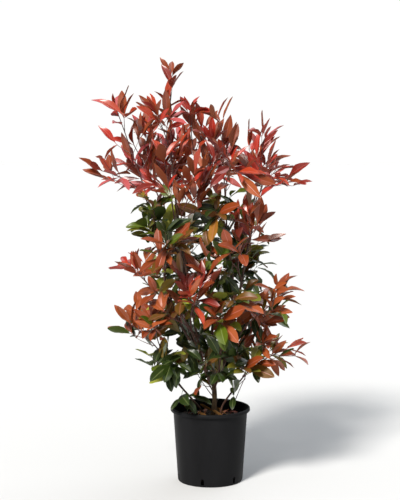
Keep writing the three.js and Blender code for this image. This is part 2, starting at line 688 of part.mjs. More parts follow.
function stemRadius(share) {
  return STEM_FOOT_RADIUS + (STEM_TIP_RADIUS - STEM_FOOT_RADIUS) * share;
}

function shootRadius(share) {
  return SHOOT_RADIUS + (SHOOT_TIP_RADIUS - SHOOT_RADIUS) * share;
}

// The main shoot of a mass, its side shoots and the leaves of them all.
function growMass(mass) {
  const shoots = [{ line: mass.stem, length: lineLength(mass.stem) }];
  for (let number = 0; number < mass.shoots; number += 1) {
    const shoot = sideShoot(mass, number);
    if (shoot) {
      shoots.push(shoot);
    }
  }
  const blades = growLeaves(mass, shoots);
  return { shoots, blades };
}

// One solid for a mass: the stem, its side shoots and their leaves, all fused. A stem that
// leaves the trunk starts on its axis and is cut back to leave the gap round it.
function massSolid(mass) {
  const { shoots, blades } = growMass(mass);
  let solid = toSolid(rod(mass.stem, stemRadius, TWIG_SIDES));
  for (const shoot of shoots.slice(1)) {
    solid = solid.add(toSolid(rod(shoot.line, shootRadius, TWIG_SIDES)));
  }
  for (const blade of blades) {
    solid = solid.add(leafSolid(blade));
  }
  if (mass.on === 'trunk') {
    solid = solid.subtract(limbSleeve('trunk'));
  }
  return largestBody(solid);
}

// ---- Pot and compost ----

const POT_BAND = POT_HEIGHT - RIM_BAND_HEIGHT;

// The radius of the wall's inner face at a height.
function insideRadius(height) {
  const share = (height - FOOT_ROUND) / (POT_BAND - FOOT_ROUND);
  return POT_FOOT_RADIUS - POT_WALL + (POT_NECK_RADIUS - POT_FOOT_RADIUS) * share;
}

// Steps round an arc in the profile's plane, angles in degrees.
function arc(x, y, radius, from, to, steps) {
  return Array.from({ length: steps + 1 }, (_, step) => {
    const turn = radians(from + ((to - from) * step) / steps);
    return [x + radius * Math.cos(turn), y + radius * Math.sin(turn)];
  });
}

function potProfile() {
  return [
    [0, 0],
    ...arc(POT_FOOT_RADIUS - FOOT_ROUND, FOOT_ROUND, FOOT_ROUND, -90, 0, ROUND_STEPS / 2),
    [POT_NECK_RADIUS, POT_BAND],
    [POT_RIM_RADIUS - RIM_UNDER_ROUND, POT_BAND],
    [POT_RIM_RADIUS, POT_BAND + RIM_UNDER_ROUND],
    ...arc(POT_RIM_RADIUS - RIM_ROUND, POT_HEIGHT - RIM_ROUND, RIM_ROUND, 0, 180, ROUND_STEPS),
    [insideRadius(POT_BAND), POT_BAND],
    [insideRadius(FOOT_ROUND), FOOT_ROUND + FLOOR_ROUND],
    [insideRadius(FOOT_ROUND) - FLOOR_ROUND, POT_FLOOR],
    [0, POT_FLOOR],
  ];
}

function drainSlot(index) {
  const shape = new THREE.Shape();
  const half = DRAIN_SLOT_WIDTH / 2;
  shape.moveTo(-half, DRAIN_SLOT_LOW);
  shape.lineTo(half, DRAIN_SLOT_LOW);
  shape.lineTo(half, DRAIN_SLOT_HIGH - half);
  shape.absarc(0, DRAIN_SLOT_HIGH - half, half, 0, Math.PI, false);
  shape.closePath();
  const cutter = new THREE.ExtrudeGeometry(shape, {
    depth: DRAIN_CUT_LENGTH,
    bevelEnabled: false,
    curveSegments: DRAIN_ARC_STEPS,
  });
  cutter.rotateX(Math.PI / 2);
  cutter.translate(0, DRAIN_CUT_IN - POT_FOOT_RADIUS, 0);
  cutter.rotateZ(radians(DRAIN_FIRST_ANGLE + 90 + (360 / DRAIN_SLOTS) * index));
  return toSolid(cutter);
}

function turned(profile) {
  const lathe = new THREE.LatheGeometry(profile.map(([x, y]) => new THREE.Vector2(x, y)), POT_SIDES);
  lathe.rotateX(Math.PI / 2);
  return toSolid(lathe);
}

function potGeometry() {
  let solid = turned(potProfile());
  for (let index = 0; index < DRAIN_SLOTS; index += 1) {
    solid = solid.subtract(drainSlot(index));
  }
  return toGeometry(solid);
}

// The compost fills the pot, the gap clear of its floor and wall, and slopes down at its edge.
function compostGeometry() {
  const edge = COMPOST_LEVEL - COMPOST_EDGE_DROP;
  const foot = insideRadius(FOOT_ROUND) - GAP;
  const top = insideRadius(edge) - GAP;
  return toGeometry(turned([
    [0, POT_FLOOR + GAP],
    [foot - FLOOR_ROUND, POT_FLOOR + GAP],
    [foot, FOOT_ROUND + FLOOR_ROUND + GAP],
    [top, edge],
    [top - COMPOST_EDGE_WIDTH, COMPOST_LEVEL],
    [0, COMPOST_LEVEL],
  ]));
}

// ---- Assembly ----

addTrunk();
BOUGHS.forEach(addBough);
const limbStretches = [...limbs.values()].flatMap((limb) => stretchesOf(limb.line, limb.radiusAt));

const masses = MASSES.map((row, number) => {
  const onSameTip = MASSES.filter((other) => other.on === row.on && row.on !== 'trunk');
  return { shoots: SIDE_SHOOTS, ...row, number, stem: mainStem(row, onSameTip) };
});

const plant = new THREE.Group();
plant.name = 'photinia_in_pot';

function addPiece(name, geometry, colour, roughness) {
  const centre = new THREE.Vector3();
  geometry.computeBoundingBox();
  geometry.boundingBox.getCenter(centre);
  centre.round();
  geometry.translate(-centre.x, -centre.y, -centre.z);
  const material = new THREE.MeshStandardMaterial({ color: colour, roughness, metalness: 0 });
  const mesh = new THREE.Mesh(geometry, material);
  mesh.name = name;
  mesh.position.copy(centre);
  plant.add(mesh);
}

addPiece('pot', potGeometry(), POT_COLOUR, 0.6);
addPiece('compost', compostGeometry(), COMPOST_COLOUR, 1);
for (const [name, limb] of limbs) {
  const label = name === 'trunk' ? name : `bough_${name}`;
  addPiece(label, toGeometry(limbSolid(limb)), name === 'trunk' ? BARK_COLOUR : SHOOT_BARK_COLOUR, 0.8);
}
for (const mass of masses) {
  addPiece(`foliage_${mass.name}`, toGeometry(massSolid(mass)), LEAF_KINDS[mass.kind].colour, 0.4);
}

export default plant;
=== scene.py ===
"""Photinia shrub with red young leaves in a black nursery pot, dressed around the packed frame.

The growing rules are the part's own: limbs from a short plan, then for each foliage mass a main
stem, its side shoots, finer twigs and leaves. Lengths in the growing rules are in millimetres.
"""
import math
from collections import namedtuple

import bpy
import numpy as np
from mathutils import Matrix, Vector, noise


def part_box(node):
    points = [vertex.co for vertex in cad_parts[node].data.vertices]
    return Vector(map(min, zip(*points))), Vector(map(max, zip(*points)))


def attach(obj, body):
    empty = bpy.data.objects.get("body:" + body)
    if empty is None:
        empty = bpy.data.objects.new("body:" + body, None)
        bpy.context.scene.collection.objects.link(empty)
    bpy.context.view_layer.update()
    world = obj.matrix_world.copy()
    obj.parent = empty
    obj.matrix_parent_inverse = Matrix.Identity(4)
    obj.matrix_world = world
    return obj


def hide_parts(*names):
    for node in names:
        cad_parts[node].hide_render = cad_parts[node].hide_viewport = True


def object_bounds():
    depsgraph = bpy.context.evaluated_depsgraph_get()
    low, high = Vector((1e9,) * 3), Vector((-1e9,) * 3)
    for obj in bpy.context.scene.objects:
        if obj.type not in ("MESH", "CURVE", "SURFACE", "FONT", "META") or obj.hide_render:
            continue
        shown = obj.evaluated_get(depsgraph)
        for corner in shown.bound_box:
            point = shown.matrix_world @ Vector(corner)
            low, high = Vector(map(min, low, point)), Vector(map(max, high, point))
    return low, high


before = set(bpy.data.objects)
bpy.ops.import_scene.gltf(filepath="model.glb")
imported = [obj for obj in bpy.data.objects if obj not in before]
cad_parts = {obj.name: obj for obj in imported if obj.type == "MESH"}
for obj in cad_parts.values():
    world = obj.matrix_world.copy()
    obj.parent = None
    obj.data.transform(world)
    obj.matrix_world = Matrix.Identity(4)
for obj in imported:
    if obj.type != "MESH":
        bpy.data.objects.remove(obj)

CAD_BOX = [list(corner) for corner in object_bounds()]

bl_info = {
    "name": "Potted photinia",
    "version": (1, 0, 0),
    "blender": (4, 5, 0),
    "location": "View3D > Sidebar > Photinia",
    "description": "Builds a potted red-leaved shrub piece by piece",
    "category": "Object",
}

MM = 0.001
POT_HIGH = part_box("pot")[1]

# ---- The pot and the compost, in mm, next to the sizes that a user may change ----

POT_SIDES = 144
POT_SHARP = 40                    # degrees; sharper edges than this aren't smoothed
POT_FLOOR = 4.0
FOOT_ROUND = 5.0
RIM_ROUND = 5.0                   # half the thickness of the rolled rim
RIM_UNDER_ROUND = 2.0
UNDERSIDE_HOLLOW = 1.2
OUTSIDE_HEIGHTS = (20, 60, 110, 160, 200, 230)
INSIDE_HEIGHTS = (200, 150, 100, 50, 9)
DRAIN_SLOTS = 6
DRAIN_SLOT_WIDTH = 11.0
DRAIN_SLOT_LOW, DRAIN_SLOT_HIGH = 7.0, 29.0
DRAIN_CUT_IN, DRAIN_CUT_OUT = 14, 6     # from the foot radius to the ends of the cut
DRAIN_FIRST_TURN = -14                  # degrees

COMPOST_LEVEL = 226.0
COMPOST_SIDES = 96
COMPOST_RINGS = 40
COMPOST_GAP = 0.4                 # between the compost and the wall or the floor
COMPOST_SET_BACK = (20, 16)       # behind the drain slots, at the foot and above them
COMPOST_STEP_LOW, COMPOST_STEP_HIGH = 34, 44
COMPOST_EDGE_DROP = 4
COMPOST_EDGE_WIDTH = 3
COMPOST_LUMPS = ((0.05, 3.2), (0.25, 2.4))      # how close they lie, and their height
COMPOST_SETTLING = 1.8
CRUMBS = 1500
CRUMB_SIZES = (0.8, 3.4)
CRUMB_EDGE = 6.0                  # from the outermost crumbs to the edge of the compost
CRUMB_DEPTH = 1.0                 # how far the middle of a crumb lies under its level
CRUMB_CORNERS = (0.35, 0.62)      # how far a crumb's corners reach out, shares of its size
PALE_CRUMBS = 0.05
FALLEN_LEAVES = 17
FALLEN_TURN, FALLEN_TURN_JITTER = 0.381, 0.06   # from each to the next, shares of a full turn
FALLEN_LIFT = 2.0
FALLEN_EDGE = 4.0                 # closer than this to the edge, a leaf lies round it instead
FALLEN_SHRINK = 0.6               # and is shorter
FALLEN_PLACES = (0.3, 0.86)       # shares of the compost's radius
FALLEN_LENGTHS = (38, 62)
FALLEN_WIDTHS = (17, 25)
FALLEN_FOLDS = (14, 42)           # degrees
FALLEN_BENDS = (-0.5, 0.1)
FALLEN_TWIST, FALLEN_SICKLE = 0.9, 0.1
FALLEN_RISES = (0.0, 0.5)
FALLEN_PETIOLE = 8
TRUNK_ROOM = 18                   # between the middle of the trunk and a fallen leaf's tip

# ---- The plant's plan, in mm ----

LIMB_FOOT_DEPTH = 6.0
TRUNK_LINE = ((13, 0, COMPOST_LEVEL - LIMB_FOOT_DEPTH), (15, -1, 290), (12, 0, 352))
TRUNK_RADII = (9.6, 8.0)
TRUNK_FLARE = 6.5
TRUNK_FLARE_HEIGHT = 11.0
TRUNK_STEP = 13.0
BOUGH_STEP = 95.0

# Name, carrier, share along the carrier, foot on the compost, bends, tip, radii
BOUGHS = (
    ("leader", "trunk", 0.93, (), ((-8, -9, 380), (-31, -12, 440), (-62, -8, 600), (-92, 6, 800),
     (-122, 18, 1000)), (-134, 20, 1120), (6, 2.8)),
    ("centre", "trunk", 0.7, (), ((14, 20, 350), (9, 34, 430), (6, 42, 570), (-6, 46, 800)),
     (-32, 42, 990), (5.6, 2.8)),
    ("right", "trunk", 0.82, (), ((40, 4, 395), (66, 8, 480), (98, 6, 650), (134, 4, 850)),
     (154, 0, 985), (5.2, 2.8)),
    ("tall_left", "leader", 0.1, (), ((-82, -24, 520), (-146, -32, 640), (-172, -36, 840)),
     (-214, -40, 985), (4.6, 3)),
    ("upper_right", "right", 0.3, (), ((78, -30, 700), (60, -40, 850)), (52, -44, 975), (4.2, 2.6)),
    ("high_front", "leader", 0.5, (), ((-92, -52, 760),), (-108, -92, 860), (3.8, 2.8)),
    ("high_back", "leader", 0.56, (), ((-118, 50, 800),), (-158, 84, 930), (3.8, 2.8)),
    ("left_inner", "tall_left", 0.3, (), ((-150, -56, 690),), (-156, -78, 745), (3.4, 2.6)),
    ("left_mid", "leader", 0.4, (), ((-108, -66, 606),), (-196, -84, 690), (3.4, 2.6)),
    ("back_left", "trunk", 0.84, (), ((-10, 20, 364), (-52, 58, 460)), (-98, 98, 570), (4, 2.8)),
    ("back_right", "right", 0.14, (), ((66, 48, 500),), (92, 92, 590), (4, 2.8)),
    ("right_back_high", "right", 0.6, (), ((140, 50, 850),), (162, 92, 950), (3.4, 2.6)),
    ("right_front", "right", 0.38, (), ((104, -26, 690),), (96, -58, 752), (3.6, 2.8)),
    ("green_right", "upper_right", 0.5, (), ((58, -62, 830),), (58, -84, 868), (3, 2.4)),
    ("front_left", "leader", 0.08, (), ((-42, -52, 470),), (-66, -104, 550), (4, 2.8)),
    ("front", "trunk", 0.78, (), ((30, -50, 400),), (36, -106, 500), (3.8, 2.8)),
    ("right_low", "right", 0.2, (), ((110, -22, 535),), (160, -38, 590), (3.4, 2.6)),
    ("low_left", None, 0, (-24, -24), ((-36, -30, 262), (-109, -48, 353)), (-160, -56, 448),
     (3.8, 2.8)),
    ("bottom_left", "low_left", 0.42, (), ((-118, -66, 362),), (-138, -84, 378), (2.8, 2.3)),
    ("low_right", None, 0, (34, -26), ((42, -30, 270), (76, -40, 325)), (114, -50, 378),
     (3.4, 2.6)),
)

# The share is where a mass leaves the trunk; on a bough it starts at the tip. The seed is that of
# its side shoots, and their reach is their length.
Mass = namedtuple("Mass", "name carrier share head shoots reach kind seed")
MASSES = [Mass(*row) for row in (
    ("top", "leader", 0, (-136, 20, 1420), 2, 70, "red", 56),
    ("upper_left", "leader", 0, (-176, -60, 1270), 3, 90, "red", 104),
    ("left_fan", "tall_left", 0, (-320, -34, 1300), 3, 80, "red", 74),
    ("far_left", "tall_left", 0, (-376, -60, 1098), 3, 95, "red", 41),
    ("upper_mid", "centre", 0, (-76, 30, 1290), 3, 110, "red", 74),
    ("high_back_right", "centre", 0, (20, 150, 1180), 3, 110, "red", 66),
    ("right_shoot", "right", 0, (188, 0, 1206), 3, 80, "red", 41),
    ("far_right", "right", 0, (270, -44, 1070), 3, 80, "red", 67),
    ("upper_right", "upper_right", 0, (38, -20, 1260), 3, 100, "red", 85),
    ("high_front_right", "upper_right", 0, (66, -160, 1120), 3, 100, "red", 70),
    ("high_front_left", "high_front", 0, (-156, -150, 1140), 3, 100, "red", 4),
    ("high_front", "high_front", 0, (-24, -150, 1100), 3, 100, "red", 73),
    ("high_back_left", "high_back", 0, (-140, 170, 1160), 3, 110, "red", 76),
    ("left_back", "high_back", 0, (-270, 96, 1180), 3, 100, "red", 11),
    ("green_left", "left_inner", 0, (-206, -70, 960), 3, 75, "green", 80),
    ("centre_left", "left_inner", 0, (-120, -160, 850), 3, 85, "copper", 116),
    ("right_back", "right_back_high", 0, (200, 140, 1100), 3, 110, "red", 48),
    ("right_mid", "right_front", 0, (160, -84, 910), 3, 90, "red", 107),
    ("centre_right", "right_front", 0, (50, -150, 800), 3, 80, "green", 74),
    ("green_right", "green_right", 0, (30, -120, 970), 3, 80, "green", 27),
    ("left_mid", "left_mid", 0, (-250, -66, 750), 3, 80, "red", 64),
    ("back_mid_left", "back_left", 0, (-80, 160, 820), 4, 110, "green", 104),
    ("back_low_left", "back_left", 0, (-130, 140, 530), 3, 100, "green", 46),
    ("back_mid_right", "back_right", 0, (140, 120, 800), 4, 100, "green", 50),
    ("back_low_right", "back_right", 0, (160, 130, 560), 3, 100, "copper", 40),
    ("centre_low_left", "front_left", 0, (-140, -140, 600), 3, 80, "green", 83),
    ("centre_red", "front_left", 0, (-36, -190, 710), 3, 80, "red", 40),
    ("centre_low", "front", 0, (40, -170, 620), 3, 90, "green", 20),
    ("right_low", "right_low", 0, (236, -50, 650), 3, 75, "copper", 116),
    ("low_left", "low_left", 0, (-276, -64, 566), 3, 80, "copper", 50),
    ("low_left_inner", "low_left", 0, (-200, -90, 590), 3, 70, "copper", 15),
    ("bottom_left", "bottom_left", 0, (-160, -106, 440), 3, 60, "green", 55),
    ("low_right", "low_right", 0, (262, -70, 480), 3, 80, "copper", 42),
    ("bottom_right", "low_right", 0, (124, -112, 430), 3, 60, "green", 81),
    ("bottom_front", "trunk", 0.66, (-26, -118, 440), 3, 75, "green", 18),
    ("bottom_back", "trunk", 0.5, (0, 150, 450), 3, 90, "green", 98),
)]

# For each shoot of a mass, the main stem first: the seed of its leaves and that of its fine twigs
LEAF_SEEDS = {
    "top": ((223, 396), (130, 235), (403, 1)),
    "upper_left": ((372, 166), (391, 16), (55, 1), (210, 83)),
    "left_fan": ((250, 273), (246, 1), (35, 2), (19, 27)),
    "far_left": ((288, 291), (289, 26), (332, 289), (139, 3)),
    "upper_mid": ((210, 301), (347, 2), (81, 286), (75, 34)),
    "high_back_right": ((132, 27), (393, 397), (231, 140), (362, 305)),
    "right_shoot": ((111, 150), (245, 3), (379, 13), (25, 44)),
    "far_right": ((402, 302), (9, 43), (119, 388), (35, 2)),
    "upper_right": ((348, 148), (158, 275), (407, 23), (311, 2)),
    "high_front_right": ((90, 43), (310, 1), (383, 2), (186, 53)),
    "high_front_left": ((200, 25), (267, 2), (138, 5), (115, 3)),
    "high_front": ((74, 140), (131, 267), (5, 170), (49, 10)),
    "high_back_left": ((14, 184), (312, 16), (376, 37), (201, 420)),
    "left_back": ((202, 360), (212, 13), (211, 60), (350, 121)),
    "green_left": ((393, 8), (411, 333), (327, 240), (195, 293)),
    "centre_left": ((412, 55), (396, 64), (401, 2), (55, 143)),
    "right_back": ((268, 178), (131, 111), (335, 119), (340, 402)),
    "right_mid": ((187, 261), (17, 152), (407, 301), (266, 37)),
    "centre_right": ((268, 219), (311, 53), (130, 157), (94, 42)),
    "green_right": ((20, 325), (199, 3), (405, 136), (34, 47)),
    "left_mid": ((54, 96), (169, 46), (318, 1), (301, 2)),
    "back_mid_left": ((276, 249), (131, 74), (274, 220), (305, 348), (10, 10)),
    "back_low_left": ((250, 398), (371, 29), (5, 266), (218, 394)),
    "back_mid_right": ((23, 235), (12, 348), (50, 37), (28, 95), (60, 174)),
    "back_low_right": ((90, 211), (27, 309), (201, 328), (337, 186)),
    "centre_low_left": ((168, 250), (14, 12), (88, 287), (228, 3)),
    "centre_red": ((382, 226), (136, 296), (176, 1), (119, 34)),
    "centre_low": ((272, 290), (276, 163), (257, 55), (358, 257)),
    "right_low": ((6, 400), (137, 12), (195, 2), (290, 59)),
    "low_left": ((291, 203), (74, 29), (274, 2), (24, 305)),
    "low_left_inner": ((101, 55), (129, 2), (352, 84), (91, 232)),
    "bottom_left": ((388, 362), (361, 39), (376, 136), (358, 1)),
    "low_right": ((117, 250), (329, 69), (194, 93), (210, 1)),
    "bottom_right": ((205, 326), (109, 32), (273, 1), (131, 328)),
    "bottom_front": ((248, 248), (373, 1), (198, 26), (217, 2)),
    "bottom_back": ((210, 119), (278, 214), (326, 151), (400, 134)),
}

# The seed of each bough's spurs
SPUR_SEEDS = {
    "leader": 300, "centre": 386, "right": 113, "tall_left": 361, "upper_right": 89,
    "high_front": 192, "high_back": 268, "left_inner": 408, "left_mid": 34, "back_left": 185,
    "back_right": 63, "right_back_high": 273, "right_front": 212, "green_right": 51,
    "front_left": 259, "front": 116, "right_low": 411, "low_left": 22, "bottom_left": 72,
    "low_right": 1,
}

# Leafy sprigs low on the canes, over the rim: bough, share along it, heading and length, and the
# seed of the leaves of each
SPRIGS = (
    ("low_left", 0.6, (-0.1, -0.85, -0.25), 56),
    ("low_left", 0.52, (0.2, -0.9, 0.05), 34),
    ("low_right", 0.6, (0.3, -0.8, 0.1), 36),
)
SPRIG_SEEDS = (423, 142, 279)

# Thin bare canes round the trunk: foot, bend and tip
BARE_CANES = (
    ((26, -4, 222), (52, -10, 300), (124, -18, 366)),
    ((70, 46, 222), (98, 50, 300), (127, 52, 362)),
    ((12, -6, 296), (-16, -14, 330), (-46, -20, 384)),
)
BARE_CANE_RADII = (1.7, 1.1)

# Rules for the main stems and side shoots, as in the part's source, but with finer tips
GAP = 0.3
STEM_STEPS = 3
STEM_BEND = 0.4
STEM_FOOT_RADIUS = 2.5
STEM_TIP_RADIUS = 1.4
TRUNK_SHOOT_RISE = 0.5
FORK_OFFSET = 2.8
SHOOT_LIFT = 0.35
SHOOT_OFF_TURN = 22.0
SHOOT_MARGIN = 4.0
SPACE_MARGIN = 2.5
POT_MARGIN = 4.0
SHOOTS_FROM = 0.25
SHOOTS_SPAN = 0.65
SHOOT_LEANS = (42.0, 62.0)
SHOOT_LENGTHS = (0.8, 1.1)
SHOOT_TRIES = 6
TRY_SHRINK = 0.06
TWIG_FLATS = 3
SHOOT_TESTS = (0.3, 0.65, 1.0)
FOOT_TESTS = (0.0, 0.25, 0.5, 0.75)

# Rules for the finer twigs
SMOOTH_STEM_STEPS, SHOOT_STEPS, FINE_STEPS, SPUR_STEPS, SPRIG_STEPS, CANE_STEPS = 14, 7, 4, 3, 5, 9
SHOOT_RADII = (1.5, 0.8)
FINE_RADII = (1.0, 0.6)
TWIG_SIDES = 7
SHOOT_SAG = 0.07                  # how far a side shoot hangs below its chord, share of length
FINE_PER_STEM = (1.0, 4.0)        # rounded down after the draw
FINE_PER_SHOOT = (0.5, 3.0)
FINE_FROM, FINE_SPAN = 0.3, 0.55  # where finer twigs leave a shoot, shares of its length
FINE_LENGTHS = (34.0, 60.0)
FINE_LEANS = (34.0, 58.0)
FINE_LIFT = 0.3
FINE_TRIES = 4
CURVE_STEP = 12.0                 # between the places of a bough's curve that carry twigs
SPUR_EVERY = 62.0                 # between leafy spurs along a bough
SPUR_SHIFTS = (0.2, 0.8)
SPUR_LOW, SPUR_HIGH = 275.0, 1010.0
SPUR_BARE = 0.25
SPUR_LEANS = (48, 78)
SPUR_LENGTHS = (12.0, 46.0)
SPUR_SAG = 1.5
SPUR_MARGIN = 2.0
SPUR_GREENS = 0.75
SPUR_KEY, SPRIG_KEY = 90, 130     # past the numbers of the masses
SPRIG_RISE = 0.1

# Rules for the leaves
GOLDEN_TURN = 137.5
SUNWARD = np.array((-0.35, -0.5, 0.79))
FACE_SHOOT, FACE_SUN = 0.5, 0.9   # how much blades face up the shoot, and how much the sun
LEAF_ROLL = 0.5                   # how far they roll at random out of that
LEAN_JITTER = 12                  # degrees
TURN_JITTER = 0.6                 # radians
ROSETTE_BACKS = (0.5, 2.5, 6.0, 11.0, 18.0)     # from a shoot's end back to its close leaves
NODE_STEP = 26.0                  # between the leaves further down
STEM_LEAVES, SHOOT_LEAVES, FINE_LEAVES, SPUR_LEAVES, SPRIG_LEAVES = 9, 7, 4, 3, 3
LEAF_SHARES = (0.3, 0.95)         # shares of those numbers, by chance
LEAFY_SHARE = 0.8                 # share of a shoot, from its end, that carries leaves
FINE_SCALE, SPUR_SCALE = 0.94, 0.9
YOUNG_SIZE, SIZE_PER_NODE = 0.74, 0.12
LEAF_SIZES = (0.78, 1.2)
LEAF_TRY_SHRINK = 0.05
PETIOLES = (7, 13)
LEAF_WIDTHS = (0.86, 1.12)
LEAF_FOLDS = (0.5, 1.4)
LEAF_TWIST = 0.5
LEAF_SICKLE = 0.08
MAIN_TINT_SHARE = 0.62            # share of a spray's leaves that take the spray's own tint
REACH_MARGIN = 30.0               # how far a leaf may pass the box of its own mass
PART_MARGIN = 9.0                 # and the box of the whole part
LEAF_LIMB_MARGIN = 1.5
LEAF_TRIES = 7

# Length, width over length, lean at the shoot's end and lower down, sag lower down, fold, bend,
# and the powers of the outline towards the root and the tip
LEAF_KINDS = {
    "red": {"length": 104, "width": 0.34, "leans": (23, 68), "sag": 0.0, "fold": 25,
            "bend": (-0.15, 0.5), "shape": (1.15, 1.05)},
    "copper": {"length": 100, "width": 0.36, "leans": (26, 74), "sag": 0.1, "fold": 22,
               "bend": (-0.1, 0.6), "shape": (1.05, 0.95)},
    "green": {"length": 96, "width": 0.44, "leans": (30, 84), "sag": 0.35, "fold": 13,
              "bend": (0.1, 0.8), "shape": (0.95, 0.8)},
}

# Which tints a spray takes and how often: the young leaves near its end, and the older ones below
TINT_MIXES = {
    # The rose tint in these mixes is a painted sheen, a bluish pink for the sky's reflection on
    # glossy leaves.
    "red": (("crimson", 5), ("brick", 8), ("rose", 5), ("maroon", 4), ("rust", 6), ("copper", 2)),
    "red_old": (("maroon", 3), ("brick", 3), ("rust", 5), ("bronze", 4), ("khaki", 2),
                ("deep_green", 4), ("mid_green", 2)),
    "copper": (("copper", 3), ("rust", 6), ("brick", 3), ("rose", 1), ("bronze", 4), ("amber", 1),
               ("khaki", 2), ("olive", 2), ("deep_green", 6), ("mid_green", 3)),
    "copper_old": (("bronze", 3), ("khaki", 1), ("olive", 2), ("deep_green", 7), ("mid_green", 4),
                   ("lime", 1)),
    "green": (("deep_green", 9), ("mid_green", 7), ("olive", 2), ("lime", 3), ("khaki", 1),
              ("bronze", 1), ("rust", 1), ("copper", 1)),
    "green_old": (("deep_green", 9), ("mid_green", 5), ("lime", 2), ("olive", 1), ("amber", 1),
                  ("bronze", 1)),
}
YOUNG_LEAVES = {"red": 6, "copper": 5, "green": 3}

# What the colours of a leaf's under face and midrib keep of its upper face's, and what is added
UNDER_SHARE, RIB_SHARE = 0.62, 0.6
REDDISH = 1.6                     # red over green of a tint that counts as red
RED_UNDER, GREEN_UNDER = (0.1, 0.032, 0.016), (0.03, 0.045, 0.01)
RED_RIB, GREEN_RIB = (0.2, 0.06, 0.05), (0.1, 0.12, 0.04)

# Bark: step between rings, sides, depth of the relief, how close its lumps lie, height of the
# knots along a limb and of the collar at its foot
TRUNK_RELIEF = {"step": 3.0, "sides": 40, "depth": 0.9, "lumps": 0.05, "knot": 0.0, "collar": 0.0}
BOUGH_RELIEF = {"step": 7.0, "sides": 14, "depth": 0.28, "lumps": 0.09, "knot": 0.28,
                "collar": 1.1}
FURROWS_ROUND, FURROWS_ALONG = 2.6, 0.035
FURROW_SHARE, LUMP_SHARE = 0.9, 0.7
KNOT_STEP = 34.0
KNOT_SHARPNESS = 14
COLLAR_LENGTH = 14.0

# Name, settings of its strength and tone, heading, angle in degrees
LIGHTS = (
    ("key", "sun", "key_tone", (-0.5, -0.95, 1.0), 14),
    ("top", "top", "sky_tone", (0.05, -0.15, 1.0), 110),
    ("fill", "fill", "sky_tone", (0.6, 0.9, 0.9), 50),
)
FLOOR_SIZE = 40.0
CAMERA_PLACE = (-0.0362, -5.0, 1.3947)
CAMERA_DROP = 0.115               # radians below level
CAMERA_LENS = 104.1


# ---- Repeatable chance and small vector helpers ----

def chance(*keys):
    """A repeatable number from 0 to 1 for whole-number keys, of which the last names the draw."""
    state = 1
    for key in keys:
        state = (state * 48271 + key * 7919 + 11) % 2147483647
    for _ in range(3):
        state = state * 48271 % 2147483647
    return state / 2147483647


def between(low, high, *keys):
    return low + (high - low) * chance(*keys)


def vec(place):
    return np.array(place, float)


def unit(vector):
    return vector / math.sqrt(vector.dot(vector))


def cross(a, b):
    return np.array((a[1] * b[2] - a[2] * b[1], a[2] * b[0] - a[0] * b[2],
                     a[0] * b[1] - a[1] * b[0]))


def square_to(side, along):
    return unit(side - along * side.dot(along))


def frames_of(line):
    """For each place on a line, the direction along it and a side vector that doesn't twist."""
    frames = []
    side = None
    last = len(line) - 1
    for step in range(len(line)):
        along = unit(line[min(step + 1, last)] - line[max(step - 1, 0)])
        if side is None:
            steep = abs(along[2]) > 0.95
            side = unit(cross(along, vec((1, 0, 0) if steep else (0, 0, 1))))
        else:
            side = square_to(side, along)
        frames.append((along, side))
    return frames


def catmull(places, share):
    """A place on the smooth curve through the given places."""
    last = len(places) - 1
    position = last * share
    step = min(int(position), last - 1)
    part = position - step
    p1, p2 = places[step], places[step + 1]
    p0 = places[step - 1] if step > 0 else 2 * p1 - p2
    p3 = places[step + 2] if step + 2 <= last else 2 * p2 - p1
    t0, t1 = 0.5 * (p2 - p0), 0.5 * (p3 - p1)
    return (p1 + t0 * part + (3 * (p2 - p1) - 2 * t0 - t1) * part ** 2
            + (2 * (p1 - p2) + t0 + t1) * part ** 3)


def line_length(line):
    return sum(math.dist(a, b) for a, b in zip(line, line[1:]))


def smooth_line(places, step):
    length = line_length([catmull(places, index / 200) for index in range(201)])
    count = max(2, math.ceil(length / step))
    return [catmull(places, index / count) for index in range(count + 1)]


Spot = namedtuple("Spot", "place direction side front")


def along_line(line, share):
    """The place, direction and side vectors at a share of a line, counted by steps."""
    position = min(share, 1 - 1e-4) * (len(line) - 1)
    step = int(position)
    place = line[step] + (line[step + 1] - line[step]) * (position - step)
    direction = unit(line[step + 1] - line[step])
    side = square_to(frames_of(line)[step][1], direction)
    return Spot(place, direction, side, cross(direction, side))


def leaning_out(spot, turn, lean):
    """A direction that leans out of a line, turned about it."""
    out = spot.side * math.cos(turn) + spot.front * math.sin(turn)
    return spot.direction * math.cos(lean) + out * math.sin(lean)


def bezier(foot, bend, head, steps):
    return [foot * (1 - t) ** 2 + bend * 2 * t * (1 - t) + head * t * t
            for t in (index / steps for index in range(steps + 1))]


def cut_back(line, share):
    """A line up to a share of it, where its last leaf or twig stands."""
    last = max(1, math.ceil(share * (len(line) - 1) - 0.05))
    return line[:last] + [along_line(line, share).place]


# ---- Growing the limbs ----

def trunk_radius(share):
    height = share * (TRUNK_LINE[2][2] - TRUNK_LINE[0][2]) - LIMB_FOOT_DEPTH
    flare = TRUNK_FLARE * math.exp(-height / TRUNK_FLARE_HEIGHT)
    return TRUNK_RADII[0] + (TRUNK_RADII[1] - TRUNK_RADII[0]) * share + flare


def taper(radii):
    return lambda share: radii[0] + (radii[1] - radii[0]) * share


def grow_limbs():
    """Each limb's coarse line, as in the part's source, the places of its curve and its radius."""
    places = [vec(place) for place in TRUNK_LINE]
    limbs = {"trunk": {"line": smooth_line(places, TRUNK_STEP), "places": places,
                       "radius": trunk_radius}}
    for name, carrier, share, foot, bends, tip, radii in BOUGHS:
        places = [vec(place) for place in (*bends, tip)]
        if carrier:
            places.insert(0, along_line(limbs[carrier]["line"], share).place)
        else:
            places.insert(0, vec((*foot, COMPOST_LEVEL - LIMB_FOOT_DEPTH)))
        limbs[name] = {"line": smooth_line(places, BOUGH_STEP), "places": places,
                       "radius": taper(radii)}
    return limbs


# ---- Growing the shoots of a mass ----

